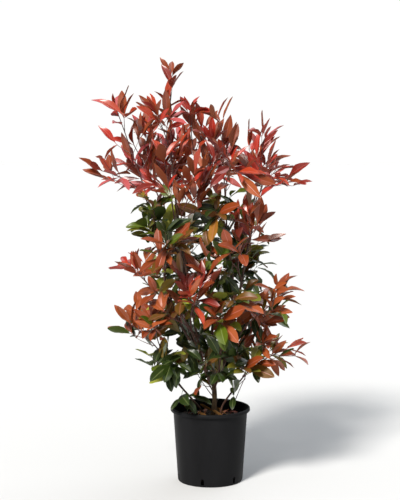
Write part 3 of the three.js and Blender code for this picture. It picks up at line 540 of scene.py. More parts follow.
def foot_dip(stem, limb, start):
    """How far a stem's slanted foot reaches back over the end of the bough that carries it."""
    axis = limb["line"][-1]
    along, side = frames_of(stem)[0]
    front = cross(along, side)
    corners = [stem[0] + STEM_FOOT_RADIUS * (side * math.cos(turn) + front * math.sin(turn))
               for turn in (2 * math.pi * index / TWIG_FLATS for index in range(TWIG_FLATS))]
    rim = [a + (b - a) * share - axis
           for a, b in zip(corners, corners[1:] + corners[:1]) for share in FOOT_TESTS]
    reach = limb["radius"](1) + GAP
    over = [place.dot(start) for place in rim
            if np.linalg.norm(place - start * place.dot(start)) < reach]
    return GAP - min(over)


def stem_course(mass, limbs):
    """The foot, first direction and head of a mass's main stem."""
    limb = limbs[mass.carrier]
    head = vec(mass.head)
    if mass.carrier == "trunk":
        spot = along_line(limb["line"], mass.share)
        start = square_to(head - spot.place, spot.direction)
        return spot.place, unit(start + TRUNK_SHOOT_RISE * spot.direction), head
    start = unit(limb["line"][-1] - limb["line"][-2])
    foot = limb["line"][-1] + start * GAP
    same_tip = [other for other in MASSES if other.carrier == mass.carrier]
    if len(same_tip) > 1:
        apart = square_to(vec(same_tip[0].head) - vec(same_tip[1].head), start)
        foot = foot + apart * (FORK_OFFSET if mass is same_tip[0] else -FORK_OFFSET)
    foot = foot + start * foot_dip(stem_line(foot, start, head, STEM_STEPS), limb, start)
    return foot, start, head


def stem_line(foot, start, head, steps):
    bend = foot + start * math.dist(head, foot) * STEM_BEND
    return bezier(foot, bend, head, steps)


def distance_to_stretches(place, starts, ends):
    """Distances from a place to many straight stretches."""
    along = ends - starts
    share = ((place - starts) * along).sum(1) / (along * along).sum(1)
    nearest = starts + along * np.clip(share, 0, 1)[:, None]
    return np.sqrt(((place - nearest) ** 2).sum(1))


class Garden:
    """The limbs, the stems of all masses, and what is near them."""

    def __init__(self):
        self.limbs = grow_limbs()
        self.courses = [stem_course(mass, self.limbs) for mass in MASSES]
        self.stems = [stem_line(*course, STEM_STEPS) for course in self.courses]
        self.stem_starts = np.array([place for stem in self.stems for place in stem[:-1]])
        self.stem_ends = np.array([place for stem in self.stems for place in stem[1:]])
        starts, ends, radii = [], [], []
        for limb in self.limbs.values():
            line = limb["line"]
            for step in range(len(line) - 1):
                starts.append(line[step])
                ends.append(line[step + 1])
                radii.append(limb["radius"](step / (len(line) - 1)))
        self.limb_starts, self.limb_ends, self.limb_radii = map(np.array, (starts, ends, radii))

    def in_space(self, number, place):
        """Whether a mass's own main stem is nearer than any other mass's."""
        gaps = distance_to_stretches(place, self.stem_starts, self.stem_ends)
        gaps = gaps.reshape(len(MASSES), STEM_STEPS).min(1)
        own = gaps[number] + SPACE_MARGIN
        gaps[number] = 1e9
        return bool((gaps > own).all())

    def clear_of_limbs(self, place, margin):
        gaps = distance_to_stretches(place, self.limb_starts, self.limb_ends)
        return bool((gaps > self.limb_radii + margin).all())


def clear_of_pot(place):
    out = math.hypot(place[0], place[1])
    return place[2] > POT_HIGH.z / MM + POT_MARGIN or out > POT_HIGH.x / MM + POT_MARGIN


def shoot_share(mass, index):
    """Where along the main stem a side shoot leaves it."""
    return SHOOTS_FROM + SHOOTS_SPAN * (index + 0.5) / mass.shoots


def side_shoot(garden, number, index):
    """A side shoot as in the part's source: its foot and its end, or None where it has no room."""
    mass = MASSES[number]
    spot = along_line(garden.stems[number], shoot_share(mass, index))
    for attempt in range(SHOOT_TRIES):
        keys = (number, mass.seed, index, attempt)
        lean = math.radians(between(*SHOOT_LEANS, *keys, 9))
        flat = index + attempt + int(TWIG_FLATS * chance(number, mass.seed, 5))
        off_turn = between(-SHOOT_OFF_TURN, SHOOT_OFF_TURN, *keys, 6)
        turn = math.radians(360 / TWIG_FLATS * (flat + 0.5) + off_turn)
        outward = leaning_out(spot, turn, lean)
        outward = outward + vec((0, 0, SHOOT_LIFT * math.dist(outward, spot.direction)))
        length = mass.reach * between(*SHOOT_LENGTHS, *keys, 10) * (1 - TRY_SHRINK * attempt)
        end = spot.place + unit(outward) * length
        tests = [spot.place + (end - spot.place) * share for share in SHOOT_TESTS]
        if all(garden.in_space(number, test) and clear_of_pot(test)
               and garden.clear_of_limbs(test, SHOOT_MARGIN) for test in tests):
            return spot.place, end
    return None


PART_BOX = [vec(corner) / MM for corner in CAD_BOX]


def box_of_mass(name):
    """The reach of a mass, a little past its solid but hardly past the whole part."""
    low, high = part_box("foliage_" + name)
    return (np.maximum(vec(low) / MM - REACH_MARGIN, PART_BOX[0] - PART_MARGIN),
            np.minimum(vec(high) / MM + REACH_MARGIN, PART_BOX[1] + PART_MARGIN))


def inside(places, box):
    return bool((places >= box[0]).all() and (places <= box[1]).all())


def fine_twigs(garden, number, parent, count, keys):
    """Finer twigs along a shoot, kept to the mass's reach: their places on it and their lines."""
    box = box_of_mass(MASSES[number].name)
    twigs = []
    for index in range(count):
        share = FINE_FROM + FINE_SPAN * (index + 0.5) / count
        spot = along_line(parent, share)
        foot = spot.place
        for attempt in range(FINE_TRIES):
            more = (*keys, index, attempt)
            lean = math.radians(between(*FINE_LEANS, *more, 1))
            outward = leaning_out(spot, 2 * math.pi * chance(*more, 2), lean)
            outward = unit(outward + vec((0, 0, FINE_LIFT)))
            length = between(*FINE_LENGTHS, *more, 3)
            end = foot + outward * length
            if (inside(end, box) and clear_of_pot(end)
                    and garden.clear_of_limbs(end, SHOOT_MARGIN)):
                bend = (foot + end) / 2 - vec((0, 0, SHOOT_SAG * length))
                twigs.append((share, bezier(foot, bend, end, FINE_STEPS)))
                break
    return twigs


def shoots_of(garden, number):
    """The main stem and side shoots of a mass: place on the stem, smooth line and radii."""
    mass = MASSES[number]
    stem = stem_line(*garden.courses[number], SMOOTH_STEM_STEPS)
    shoots = [(0, stem, (STEM_FOOT_RADIUS, STEM_TIP_RADIUS))]
    for index in range(mass.shoots):
        found = side_shoot(garden, number, index)
        if found:
            foot, end = found
            bend = (foot + end) / 2 - vec((0, 0, SHOOT_SAG * math.dist(foot, end)))
            line = bezier(foot, bend, end, SHOOT_STEPS)
            shoots.append((shoot_share(mass, index), line, SHOOT_RADII))
    return shoots


# ---- Growing the leaves ----

def pick(mix, value):
    """One name from a list of names and weights."""
    total = sum(weight for _, weight in mix)
    for name, weight in mix:
        value -= weight / total
        if value <= 0:
            return name
    return mix[-1][0]


def leaf_backs(length, most):
    """How far back from a shoot's end its leaves stand: a close spray, then one at a time."""
    backs = list(ROSETTE_BACKS[:most])
    while len(backs) < most and backs[-1] + NODE_STEP < length * LEAFY_SHARE:
        backs.append(backs[-1] + NODE_STEP)
    return [back for back in backs if back < length]


def grow_leaf(kind, spot, at, turn, lowness, size, keys):
    """One leaf on a spot of a shoot; lowness runs from 0 at the shoot's end to 1 lower down."""
    low_lean, high_lean = kind["leans"]
    lean = low_lean + (high_lean - low_lean) * lowness
    lean = math.radians(lean + between(-LEAN_JITTER, LEAN_JITTER, *keys, 3))
    outward = leaning_out(spot, turn + between(-TURN_JITTER, TURN_JITTER, *keys, 4), lean)
    outward = unit(outward - vec((0, 0, kind["sag"] * lowness)))
    up = spot.direction * FACE_SHOOT + SUNWARD * FACE_SUN
    up = up + spot.side * between(-LEAF_ROLL, LEAF_ROLL, *keys, 5)
    up = up + spot.front * between(-LEAF_ROLL, LEAF_ROLL, *keys, 6)
    return {
        "root": spot.place, "at": at, "along": outward, "up": square_to(up, outward),
        "petiole": between(*PETIOLES, *keys, 8), "length": kind["length"] * size,
        "width": kind["length"] * size * kind["width"] * between(*LEAF_WIDTHS, *keys, 9),
        "fold": math.radians(kind["fold"] * between(*LEAF_FOLDS, *keys, 10)),
        "bend": between(*kind["bend"], *keys, 11),
        "twist": between(-LEAF_TWIST, LEAF_TWIST, *keys, 12),
        "sickle": between(-LEAF_SICKLE, LEAF_SICKLE, *keys, 13),
        "wave": between(0, 2 * math.pi, *keys, 14),
        "shape": kind["shape"],
    }


def leaf_fits(garden, leaf, box):
    """Whether a leaf's midrib keeps to its box and clear of the pot and the limbs."""
    course = midrib(leaf)
    return (inside(course, box) and all(clear_of_pot(place) for place in course)
            and all(garden.clear_of_limbs(place, LEAF_LIMB_MARGIN) for place in course[1:]))


def leaf_tint(kind_name, index, main_tint, keys):
    """The tint of a leaf, counted from its shoot's end: most often that of the whole spray."""
    if index >= YOUNG_LEAVES[kind_name]:
        return pick(TINT_MIXES[kind_name + "_old"], chance(*keys, 17))
    if chance(*keys, 15) < MAIN_TINT_SHARE:
        return main_tint
    return pick(TINT_MIXES[kind_name], chance(*keys, 16))


def grow_leaves(garden, line, kind_name, keys, most, box, scale=1.0):
    """The leaves of one shoot, from its end back."""
    length = line_length(line)
    first_turn = 2 * math.pi * chance(*keys, 1)
    main_tint = pick(TINT_MIXES[kind_name], chance(*keys, 2))
    leaves = []
    for index, back in enumerate(leaf_backs(length, most)):
        at = 1 - back / length
        spot = along_line(line, at)
        lowness = min(1.0, index / (len(ROSETTE_BACKS) - 1))
        grown = scale * min(1.0, YOUNG_SIZE + SIZE_PER_NODE * index)
        for attempt in range(LEAF_TRIES):
            more = (*keys, index, attempt)
            turn = first_turn + math.radians(GOLDEN_TURN) * (index + attempt)
            size = grown * between(*LEAF_SIZES, *more, 7) * (1 - LEAF_TRY_SHRINK * attempt)
            leaf = grow_leaf(LEAF_KINDS[kind_name], spot, at, turn, lowness, size, more)
            if leaf_fits(garden, leaf, box):
                leaf["tint"] = leaf_tint(kind_name, index, main_tint, more)
                leaves.append(leaf)
                break
    return leaves


def midrib(leaf):
    """Places along a leaf's midrib, for testing where it lies."""
    shares = np.array((0.12, 0.4, 0.7, 1.0))
    start = leaf["root"] + leaf["along"] * leaf["petiole"]
    out = shares[:, None] * leaf["length"] * leaf["along"]
    drop = (shares ** 2)[:, None] * leaf["length"] * leaf["bend"] / 2 * leaf["up"]
    return start + out - drop


def leaves_of_shoot(garden, number, index, line, seed):
    """The leaves that stand on one shoot of a mass."""
    mass = MASSES[number]
    keys = (number, index, seed, 1)
    most = round((SHOOT_LEAVES if index else STEM_LEAVES) * between(*LEAF_SHARES, *keys))
    return grow_leaves(garden, line, mass.kind, keys, most, box_of_mass(mass.name))


def fine_sprays(garden, number, index, line, seed):
    """The finer twigs of one shoot of a mass, and their leaves."""
    mass = MASSES[number]
    keys = (number, index, seed, 2)
    box = box_of_mass(mass.name)
    count = math.floor(between(*(FINE_PER_SHOOT if index else FINE_PER_STEM), *keys))
    twigs, leaves = [], []
    for order, (share, twig) in enumerate(fine_twigs(garden, number, line, count, keys)):
        grown = grow_leaves(garden, twig, mass.kind, (*keys, order, 3), FINE_LEAVES, box,
                            FINE_SCALE)
        if grown:
            twigs.append((share, cut_back(twig, max(leaf["at"] for leaf in grown))))
            leaves += grown
    return twigs, leaves


def bough_spurs(garden, limb_name, order, seed):
    """Short leafy spurs along the upper part of a bough."""
    limb = garden.limbs[limb_name]
    line = smooth_line(limb["places"], CURVE_STEP)
    length = line_length(line)
    lines, leaves = [], []
    for index in range(int(length / SPUR_EVERY)):
        keys = (SPUR_KEY + order, index, seed)
        share = (index + between(*SPUR_SHIFTS, *keys, 6)) * SPUR_EVERY / length
        spot = along_line(line, share)
        foot = spot.place
        if not SPUR_LOW < foot[2] < SPUR_HIGH or chance(*keys, 7) < SPUR_BARE:
            continue
        lean = math.radians(between(*SPUR_LEANS, *keys, 1))
        outward = leaning_out(spot, 2 * math.pi * chance(*keys, 2), lean)
        end = foot + outward * (limb["radius"](share) + between(*SPUR_LENGTHS, *keys, 3))
        if not garden.clear_of_limbs(end, SPUR_MARGIN):
            continue
        bend = (foot + end) / 2 - vec((0, 0, SPUR_SAG))
        twig = bezier(foot, bend, end, SPUR_STEPS)
        kind = "green" if chance(*keys, 5) < SPUR_GREENS else "copper"
        grown = grow_leaves(garden, twig, kind, (*keys, 4), SPUR_LEAVES, PART_BOX, SPUR_SCALE)
        if grown:
            lines.append(cut_back(twig, max(leaf["at"] for leaf in grown)))
            leaves += grown
    return lines, leaves


def sprig(garden, order, seed):
    """The twig and leaves of one sprig low on a cane."""
    bough, share, heading, length = SPRIGS[order]
    foot = along_line(smooth_line(garden.limbs[bough]["places"], CURVE_STEP), share).place
    end = foot + unit(vec(heading)) * length
    bend = (foot + end) / 2 + vec((0, 0, SPRIG_RISE * length))
    twig = bezier(foot, bend, end, SPRIG_STEPS)
    keys = (SPRIG_KEY + order, seed)
    return twig, grow_leaves(garden, twig, "green", keys, SPRIG_LEAVES, PART_BOX)


# ---- The mesh of a leaf ----

BLADE_ROWS = np.array((0.0, 0.07, 0.2, 0.36, 0.53, 0.7, 0.84, 0.94))
VEIN_COLUMN = 0.55                # where the blade swells between its veins, share of its half
BLADE_COLUMNS = np.array((-1.0, -VEIN_COLUMN, -0.07, 0.0, 0.07, VEIN_COLUMN, 1.0))
MIDDLE_COLUMN = 3
RIB_COLUMNS = (2, 3)
BLADE_THICKNESS = 0.9             # at the midrib; nothing at the edges
VEIN_RELIEF = (0.7, 0.1)          # on every other row, in mm
WAVE_TURNS, WAVE_HEIGHT = 11, 0.09
NARROWEST = 0.06                  # of the blade at its root, share of its widest
STALK_RADII = (0.9, 0.7)
STALK_TURNS = (0.5, 2.6, 4.7)
STALK_OVERLAP = 2                 # how far the stalk runs on into the blade
UPPER_FACE, UNDER_FACE, RIB_FACE = 0, 1, 2


def blade_outline(share, low, high):
    """Half the blade's width at a share of its length, 1 at its widest."""
    widest = low / (low + high)
    return np.power(share / widest, low) * np.power((1 - share) / (1 - widest), high)


def leaf_points(leaf):
    """The points of a leaf: rows of the upper face, its tip, the under face's midline, petiole."""
    length, half = leaf["length"], leaf["width"] / 2
    rows = BLADE_ROWS[:, None]
    columns = BLADE_COLUMNS[None, :]
    outline = np.maximum(blade_outline(rows, *leaf["shape"]), NARROWEST) * half
    across = columns * outline * math.cos(leaf["fold"])
    rise = np.abs(columns) * outline * math.sin(leaf["fold"])
    wave = np.sin(rows * WAVE_TURNS + leaf["wave"])
    rise = rise + wave * np.abs(columns) * WAVE_HEIGHT * half
    veins = np.where(np.arange(len(BLADE_ROWS)) % 2 == 0, *VEIN_RELIEF)[:, None]
    rise = rise + veins * (np.abs(columns) == VEIN_COLUMN)
    twist = leaf["twist"] * rows
    x = across * np.cos(twist) - rise * np.sin(twist) + leaf["sickle"] * length * rows ** 2
    z = across * np.sin(twist) + rise * np.cos(twist) - leaf["bend"] * length * rows ** 2 / 2
    y = np.broadcast_to(length * rows * (1 - leaf["bend"] ** 2 * rows ** 2 / 6), x.shape)
    top = np.stack((x, y, z), 2).reshape(-1, 3)
    tip = np.array(((leaf["sickle"] * length, length * (1 - leaf["bend"] ** 2 / 6),
                     -leaf["bend"] * length / 2),))
    middle = np.stack((x, y, z - BLADE_THICKNESS), 2)[:, MIDDLE_COLUMN]
    local = np.concatenate((top, tip, middle))
    side = cross(leaf["along"], leaf["up"])
    base = leaf["root"] + leaf["along"] * leaf["petiole"]
    blade = base + local[:, :1] * side + local[:, 1:2] * leaf["along"] + local[:, 2:] * leaf["up"]
    stalk = []
    for place, radius in zip((leaf["root"], base + leaf["along"] * STALK_OVERLAP), STALK_RADII):
        for turn in STALK_TURNS:
            stalk.append(place + radius * (side * math.cos(turn) + leaf["up"] * math.sin(turn)))
    return np.concatenate((blade, stalk))


def leaf_faces():
    """The faces of one leaf and the finish of each."""
    columns = len(BLADE_COLUMNS)
    rows = len(BLADE_ROWS)
    tip = rows * columns
    middle = tip + 1
    stalk = middle + rows
    upper = [RIB_FACE if column in RIB_COLUMNS else UPPER_FACE for column in range(columns - 1)]
    faces, finish = [], []
    for row in range(rows - 1):
        left, right = row * columns, row * columns + columns - 1
        for corner in range(left, right):
            faces.append((corner, corner + 1, corner + columns + 1, corner + columns))
        faces.append((left, left + columns, middle + row + 1, middle + row))
        faces.append((middle + row, middle + row + 1, right + columns, right))
        finish += upper + [UNDER_FACE, UNDER_FACE]
    last = (rows - 1) * columns
    for column in range(columns - 1):
        faces.append((last + column, last + column + 1, tip))
        faces.append((column + 1, column, middle))
        finish += [upper[column], UNDER_FACE]
    faces += [(last, tip, middle + rows - 1), (middle + rows - 1, tip, last + columns - 1)]
    finish += [UNDER_FACE, UNDER_FACE]
    sides = len(STALK_TURNS)
    faces += shifted(rod_faces(2, sides), stalk)
    finish += [RIB_FACE] * (sides + 2)
    return faces, finish


# ---- Meshes from points ----

def rod_points(line, radius_at, sides, relief=None):
    """Rings round a line; relief gives what to add to the radius at a ring and a corner."""
    rings = []
    for step, (along, side) in enumerate(frames_of(line)):
        front = cross(along, side)
        share = step / (len(line) - 1)
        for corner in range(sides):
            turn = 2 * math.pi * corner / sides
            out = side * math.cos(turn) + front * math.sin(turn)
            radius = radius_at(share)
            if relief:
                radius += relief(line[step] + out * radius, out, share)
            rings.append(line[step] + out * radius)
    return np.array(rings)


def tube_faces(rings, sides):
    """The faces between rings of points, with both ends open."""
    faces = []
    for ring in range(rings - 1):
        for corner in range(sides):
            low, after = ring * sides + corner, ring * sides + (corner + 1) % sides
            faces.append((low, after, after + sides, low + sides))
    return faces


def rod_faces(rings, sides):
    """The faces of a rod, closed at both ends."""
    foot = tuple(range(sides - 1, -1, -1))
    tip = tuple(range((rings - 1) * sides, rings * sides))
    return tube_faces(rings, sides) + [foot, tip]


def shifted(faces, start):
    """Faces with their corners counted on from a start."""
    return [tuple(start + corner for corner in face) for face in faces]


def join_rods(rods, sides):
    """One set of points and faces for many rods of a line and radii each."""
    points, faces = [], []
    count = 0
    for line, radii in rods:
        points.append(rod_points(line, taper(radii), sides))
        faces += shifted(rod_faces(len(line), sides), count)
        count += len(points[-1])
    return np.concatenate(points), faces


def lathe(profile, sides):
    """Points and faces turned round the Z axis from a profile that starts and ends on it."""
    points = [(0, 0, profile[0][1])]
    for radius, height in profile[1:-1]:
        for corner in range(sides):
            turn = 2 * math.pi * corner / sides
            points.append((radius * math.cos(turn), radius * math.sin(turn), height))
    points.append((0, 0, profile[-1][1]))
    last = len(points) - 1
    rings = len(profile) - 2
    faces = []
    top = 1 + (rings - 1) * sides
    for corner in range(sides):
        after = (corner + 1) % sides
        faces.append((0, 1 + after, 1 + corner))
        for low in range(1, top, sides):
            faces.append((low + corner, low + after, low + sides + after, low + sides + corner))
        faces.append((top + corner, top + after, last))
    return np.array(points, float), faces


def new_piece(name, points, faces, materials, replaced=(), finish=None, sharp=60):
    """A mesh object from points in mm, riding on the one body; sharp is an angle in degrees."""
    mesh = bpy.data.meshes.new(name)
    mesh.from_pydata((np.asarray(points) * MM).tolist(), [], faces)
    for material in materials:
        mesh.materials.append(material)
    if finish is not None:
        mesh.polygons.foreach_set("material_index", np.array(finish, np.int32))
    mesh.shade_smooth()
    mesh.set_sharp_from_angle(angle=math.radians(sharp))
    mesh.update()
    piece = bpy.data.objects.new(name, mesh)
    bpy.context.scene.collection.objects.link(piece)
    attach(piece, "root")
    if replaced:
        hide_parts(*replaced)
    return piece


# ---- Materials ----

# A colour mix has sockets of the same names for other kinds of value, so these go by number
MIX_SHARE, MIX_FIRST, MIX_SECOND, MIX_RESULT = 0, 6, 7, 2


def shader_of(name, specular=0.5):
    """A material with a bare Principled shader; returns material, nodes, links and shader."""
    material = bpy.data.materials.new(name)
    material.use_nodes = True
    nodes, links = material.node_tree.nodes, material.node_tree.links
    shader = nodes["Principled BSDF"]
    shader.inputs["Specular IOR Level"].default_value = specular
    return material, nodes, links, shader


def add_node(nodes, kind, **inputs):
    """A new shader node with some of its inputs set, their names written with underscores."""
    node = nodes.new("ShaderNode" + kind)
    for name, value in inputs.items():
        node.inputs[name.replace("_", " ")].default_value = value
    return node


def speckle_group():
    """Shared effect: two sizes of mottling, as a mask and a height."""
    if "speckle" in bpy.data.node_groups:
        return bpy.data.node_groups["speckle"]
    group = bpy.data.node_groups.new("speckle", "ShaderNodeTree")
    face = group.interface
    face.new_socket("Vector", in_out="INPUT", socket_type="NodeSocketVector")
    for name, default in (("Scale", 100.0), ("Fine Scale", 600.0)):
        socket = face.new_socket(name, in_out="INPUT", socket_type="NodeSocketFloat")
        socket.default_value = default
    for name in ("Mask", "Height"):
        face.new_socket(name, in_out="OUTPUT", socket_type="NodeSocketFloat")
    nodes, links = group.nodes, group.links
    source, sink = nodes.new("NodeGroupInput"), nodes.new("NodeGroupOutput")
    coarse = add_node(nodes, "TexNoise", Detail=5.0)
    grain = add_node(nodes, "TexNoise", Detail=3.0)
    for node, socket in ((coarse, "Scale"), (grain, "Fine Scale")):
        links.new(source.outputs["Vector"], node.inputs["Vector"])
        links.new(source.outputs[socket], node.inputs["Scale"])
    ramp = add_node(nodes, "MapRange", From_Min=0.35, From_Max=0.65)
    links.new(coarse.outputs["Fac"], ramp.inputs["Value"])
    links.new(ramp.outputs["Result"], sink.inputs["Mask"])
    blend = nodes.new("ShaderNodeMath")
    blend.operation = "MULTIPLY_ADD"
    blend.inputs[1].default_value = 0.5
    links.new(grain.outputs["Fac"], blend.inputs[0])
    links.new(coarse.outputs["Fac"], blend.inputs[2])
    links.new(blend.outputs["Value"], sink.inputs["Height"])
    return group


def mottled(name, dark, light, scales, stretch, roughness, bump, distance, specular=0.5):
    """A material mottled between two colours, with a matching relief."""
    material, nodes, links, shader = shader_of(name, specular)
    place = nodes.new("ShaderNodeTexCoord")
    mapping = add_node(nodes, "Mapping", Scale=stretch)
    speckle = nodes.new("ShaderNodeGroup")
    speckle.node_tree = speckle_group()
    speckle.inputs["Scale"].default_value, speckle.inputs["Fine Scale"].default_value = scales
    links.new(place.outputs["Object"], mapping.inputs["Vector"])
    links.new(mapping.outputs["Vector"], speckle.inputs["Vector"])
    mix = nodes.new("ShaderNodeMix")
    mix.data_type = "RGBA"
    mix.inputs[MIX_FIRST].default_value = (*dark, 1)
    mix.inputs[MIX_SECOND].default_value = (*light, 1)
    links.new(speckle.outputs["Mask"], mix.inputs[MIX_SHARE])
    shader.inputs["Base Color"].default_value = (*dark, 1)
    links.new(mix.outputs[MIX_RESULT], shader.inputs["Base Color"])
    rough = add_node(nodes, "MapRange", To_Min=roughness[0], To_Max=roughness[1])
    links.new(speckle.outputs["Mask"], rough.inputs["Value"])
    links.new(rough.outputs["Result"], shader.inputs["Roughness"])
    relief = add_node(nodes, "Bump", Strength=bump, Distance=distance)
    links.new(speckle.outputs["Height"], relief.inputs["Height"])
    links.new(relief.outputs["Normal"], shader.inputs["Normal"])
    return material


def plain(name, colour, roughness, coat=0.0, coat_roughness=0.1, specular=0.5):
    """A material of one colour, with a clear coat where one is given."""
    material, _, _, shader = shader_of(name, specular)
    for socket, value in (("Base Color", (*colour, 1)), ("Roughness", roughness),
                          ("Coat Weight", coat), ("Coat Roughness", coat_roughness)):
        shader.inputs[socket].default_value = value
    return material


# ---- Settings that a user may change ----

def size_property(name, description, default):
    return bpy.props.FloatProperty(name=name, description=description, default=default,
                                   min=0.0, subtype="DISTANCE", unit="LENGTH", precision=4)


def factor_property(name, description, default):
    return bpy.props.FloatProperty(name=name, description=description, default=default,
                                   min=0.0, max=1.0, subtype="FACTOR")


def strength_property(name, description, default):
    return bpy.props.FloatProperty(name=name, description=description, default=default, min=0.0)


def colour_property(name, description, default):
    return bpy.props.FloatVectorProperty(name=name, description=description, default=default,
                                         size=3, min=0.0, max=1.0, subtype="COLOR")


class PotSettings(bpy.types.PropertyGroup):
    """Sizes and colours of the pot and what is in it."""
    height: size_property("Height", "From the ground to the top of the rim", POT_HIGH.z)
    rim_radius: size_property("Rim radius", "Outside of the rolled rim", POT_HIGH.x)
    neck_radius: size_property("Neck radius", "Outside, just under the rim band", 0.1305)
    foot_radius: size_property("Foot radius", "Outside, at the foot", 0.1145)
    wall: size_property("Wall", "Thickness of the wall", 0.0025)
    band: size_property("Rim band", "Height of the band under the rim", 0.0125)
    plastic: colour_property("Plastic", "Near-black pot plastic", (0.008, 0.008, 0.0087))
    plastic_worn: colour_property("Worn plastic", "Where it is scuffed", (0.0115, 0.0115, 0.0126))
    compost: colour_property("Compost", "Dark moist compost", (0.009, 0.006, 0.004))
    compost_dry: colour_property("Dry compost", "Dry crumbs", (0.045, 0.028, 0.018))


class LeafSettings(bpy.types.PropertyGroup):
    """Colours of the leaves, dealt out by spray."""
    crimson: colour_property("Crimson", "Young leaves", (0.42, 0.03, 0.015))
    brick: colour_property("Brick", "Young leaves", (0.39, 0.043, 0.013))
    # The rose tint is a painted sheen: a bluish pink that stands in for the sky's reflection on
    # glossy young leaves, given to whole leaves as their base colour.
    rose: colour_property("Rose", "Young leaves with a bloom", (0.44, 0.076, 0.078))
    maroon: colour_property("Maroon", "Dark young leaves", (0.21, 0.02, 0.012))
    copper: colour_property("Copper", "Ripening leaves", (0.33, 0.074, 0.018))
    rust: colour_property("Rust", "Ripening leaves", (0.24, 0.044, 0.009))
    bronze: colour_property("Bronze", "Ripening leaves", (0.13, 0.058, 0.007))
    amber: colour_property("Amber", "Leaves about to fall", (0.3, 0.125, 0.016))
    khaki: colour_property("Khaki", "Leaves turning green", (0.2, 0.13, 0.01))
    olive: colour_property("Olive", "Leaves turning green", (0.14, 0.125, 0.009))
    lime: colour_property("Lime", "Pale green leaves", (0.29, 0.31, 0.03))
    mid_green: colour_property("Mid green", "Grown leaves", (0.078, 0.112, 0.004))
    deep_green: colour_property("Deep green", "Old leaves", (0.018, 0.034, 0.003))
    gloss: factor_property("Gloss", "Waxy coat on the leaves", 1.0)


class BarkSettings(bpy.types.PropertyGroup):
    """Colours of the trunk, boughs and twigs."""
    trunk_dark: colour_property("Trunk furrows", "In the furrows", (0.05, 0.03, 0.014))
    trunk_light: colour_property("Trunk", "Pale bark", (0.13, 0.082, 0.036))
    bough_dark: colour_property("Bough shade", "Dark bark", (0.045, 0.018, 0.012))
    bough_light: colour_property("Bough", "Brown bark", (0.12, 0.055, 0.032))
    twig: colour_property("Twig", "Young red-brown twigs", (0.085, 0.02, 0.016))


class StageSettings(bpy.types.PropertyGroup):
    """The floor, the lights and the camera."""
    floor: colour_property("Floor", "Plain pale floor", (0.66, 0.66, 0.66))
    sun: strength_property("Key light", "Strength of the soft key light", 4.4)
    top: strength_property("Top light", "Strength of the broad top light", 1.1)
    fill: strength_property("Back light", "Strength of the soft back light", 1.0)
    key_tone: colour_property("Key light tone", "A little warm", (1.0, 0.97, 0.92))
    sky_tone: colour_property("All-round light tone", "A little cool", (0.9, 0.95, 1.0))
    sky: strength_property("All-round light", "Strength of the all-round light", 0.1)


# ---- Operators ----

LEAF_NODES = ["foliage_" + mass.name for mass in MASSES]


def arc(x, y, radius, start, end, steps):
    turns = (math.radians(start + (end - start) * step / steps) for step in range(steps + 1))
    return [(x + radius * math.cos(turn), y + radius * math.sin(turn)) for turn in turns]


class PotShape:
    """The pot's sizes in mm."""

    def __init__(self, settings):
        self.rim, self.neck, self.foot = (radius / MM for radius in (
            settings.rim_radius, settings.neck_radius, settings.foot_radius))
        self.height, self.wall = settings.height / MM, settings.wall / MM
        self.band = self.height - settings.band / MM

    def outside_at(self, height):
        slope = (self.neck - self.foot) / (self.band - FOOT_ROUND)
        return self.foot + slope * (height - FOOT_ROUND)

    def profile(self):
        """From the middle of the underside up the outside, over the rim and down the inside."""
        rim, neck, foot, band = self.rim, self.neck, self.foot, self.band
        outside = [(self.outside_at(z), z) for z in OUTSIDE_HEIGHTS]
        inside_wall = [(self.outside_at(z) - self.wall, z) for z in (band, *INSIDE_HEIGHTS)]
        return [(0, 0), (foot - 22, 0), (foot - 19, UNDERSIDE_HOLLOW),
                (foot - 9, UNDERSIDE_HOLLOW),
                *arc(foot - FOOT_ROUND, FOOT_ROUND, FOOT_ROUND, -90, 0, 6),
                *outside, (neck, band - 1.5), (neck + 0.6, band - 0.4), (neck + 1.6, band),
                *arc(rim - RIM_UNDER_ROUND, band + RIM_UNDER_ROUND, RIM_UNDER_ROUND, -90, 0, 4),
                (rim - 0.2, band + 5), (rim - 0.6, band + 6.2), (rim - 0.2, band + 7.4),
                *arc(rim - RIM_ROUND, self.height - RIM_ROUND, RIM_ROUND, 0, 180, 14),
                *inside_wall, (foot - self.wall - 3, POT_FLOOR), (0, POT_FLOOR)]


class PHOTINIA_OT_pot(bpy.types.Operator):
    """Build the black nursery pot with its rolled rim and drain slots"""
    bl_idname = "photinia.pot"
    bl_label = "Nursery pot"

    def execute(self, context):
        settings = context.scene.photinia_pot
        pot = PotShape(settings)
        points, faces = lathe(pot.profile(), POT_SIDES)
        material = mottled("pot_plastic", settings.plastic, settings.plastic_worn, (9.0, 420.0),
                           (1, 1, 0.35), (0.4, 0.52), 0.12, 0.0006, specular=0.06)
        piece = new_piece("nursery_pot", points, faces, [material], ["pot"],
                          sharp=POT_SHARP)
        cut_slots(piece, pot.foot)
        return {"FINISHED"}


def slot_cutters(foot):
    """Points and faces of the arched blocks that cut the drain slots."""
    half = DRAIN_SLOT_WIDTH / 2
    outline = [(-half, DRAIN_SLOT_LOW), (half, DRAIN_SLOT_LOW),
               *arc(0, DRAIN_SLOT_HIGH - half, half, 0, 180, 10)]
    size = len(outline)
    sides = [(corner, (corner + 1) % size, size + (corner + 1) % size, size + corner)
             for corner in range(size)]
    block = [tuple(range(size - 1, -1, -1)), tuple(range(size, 2 * size)), *sides]
    points, faces = [], []
    for index in range(DRAIN_SLOTS):
        turn = math.radians(DRAIN_FIRST_TURN + 360 / DRAIN_SLOTS * index)
        faces += shifted(block, len(points))
        for y in (DRAIN_CUT_IN - foot, -DRAIN_CUT_OUT - foot):
            for x, z in outline:
                points.append((x * math.cos(turn) - y * math.sin(turn),
                               x * math.sin(turn) + y * math.cos(turn), z))
    return points, faces


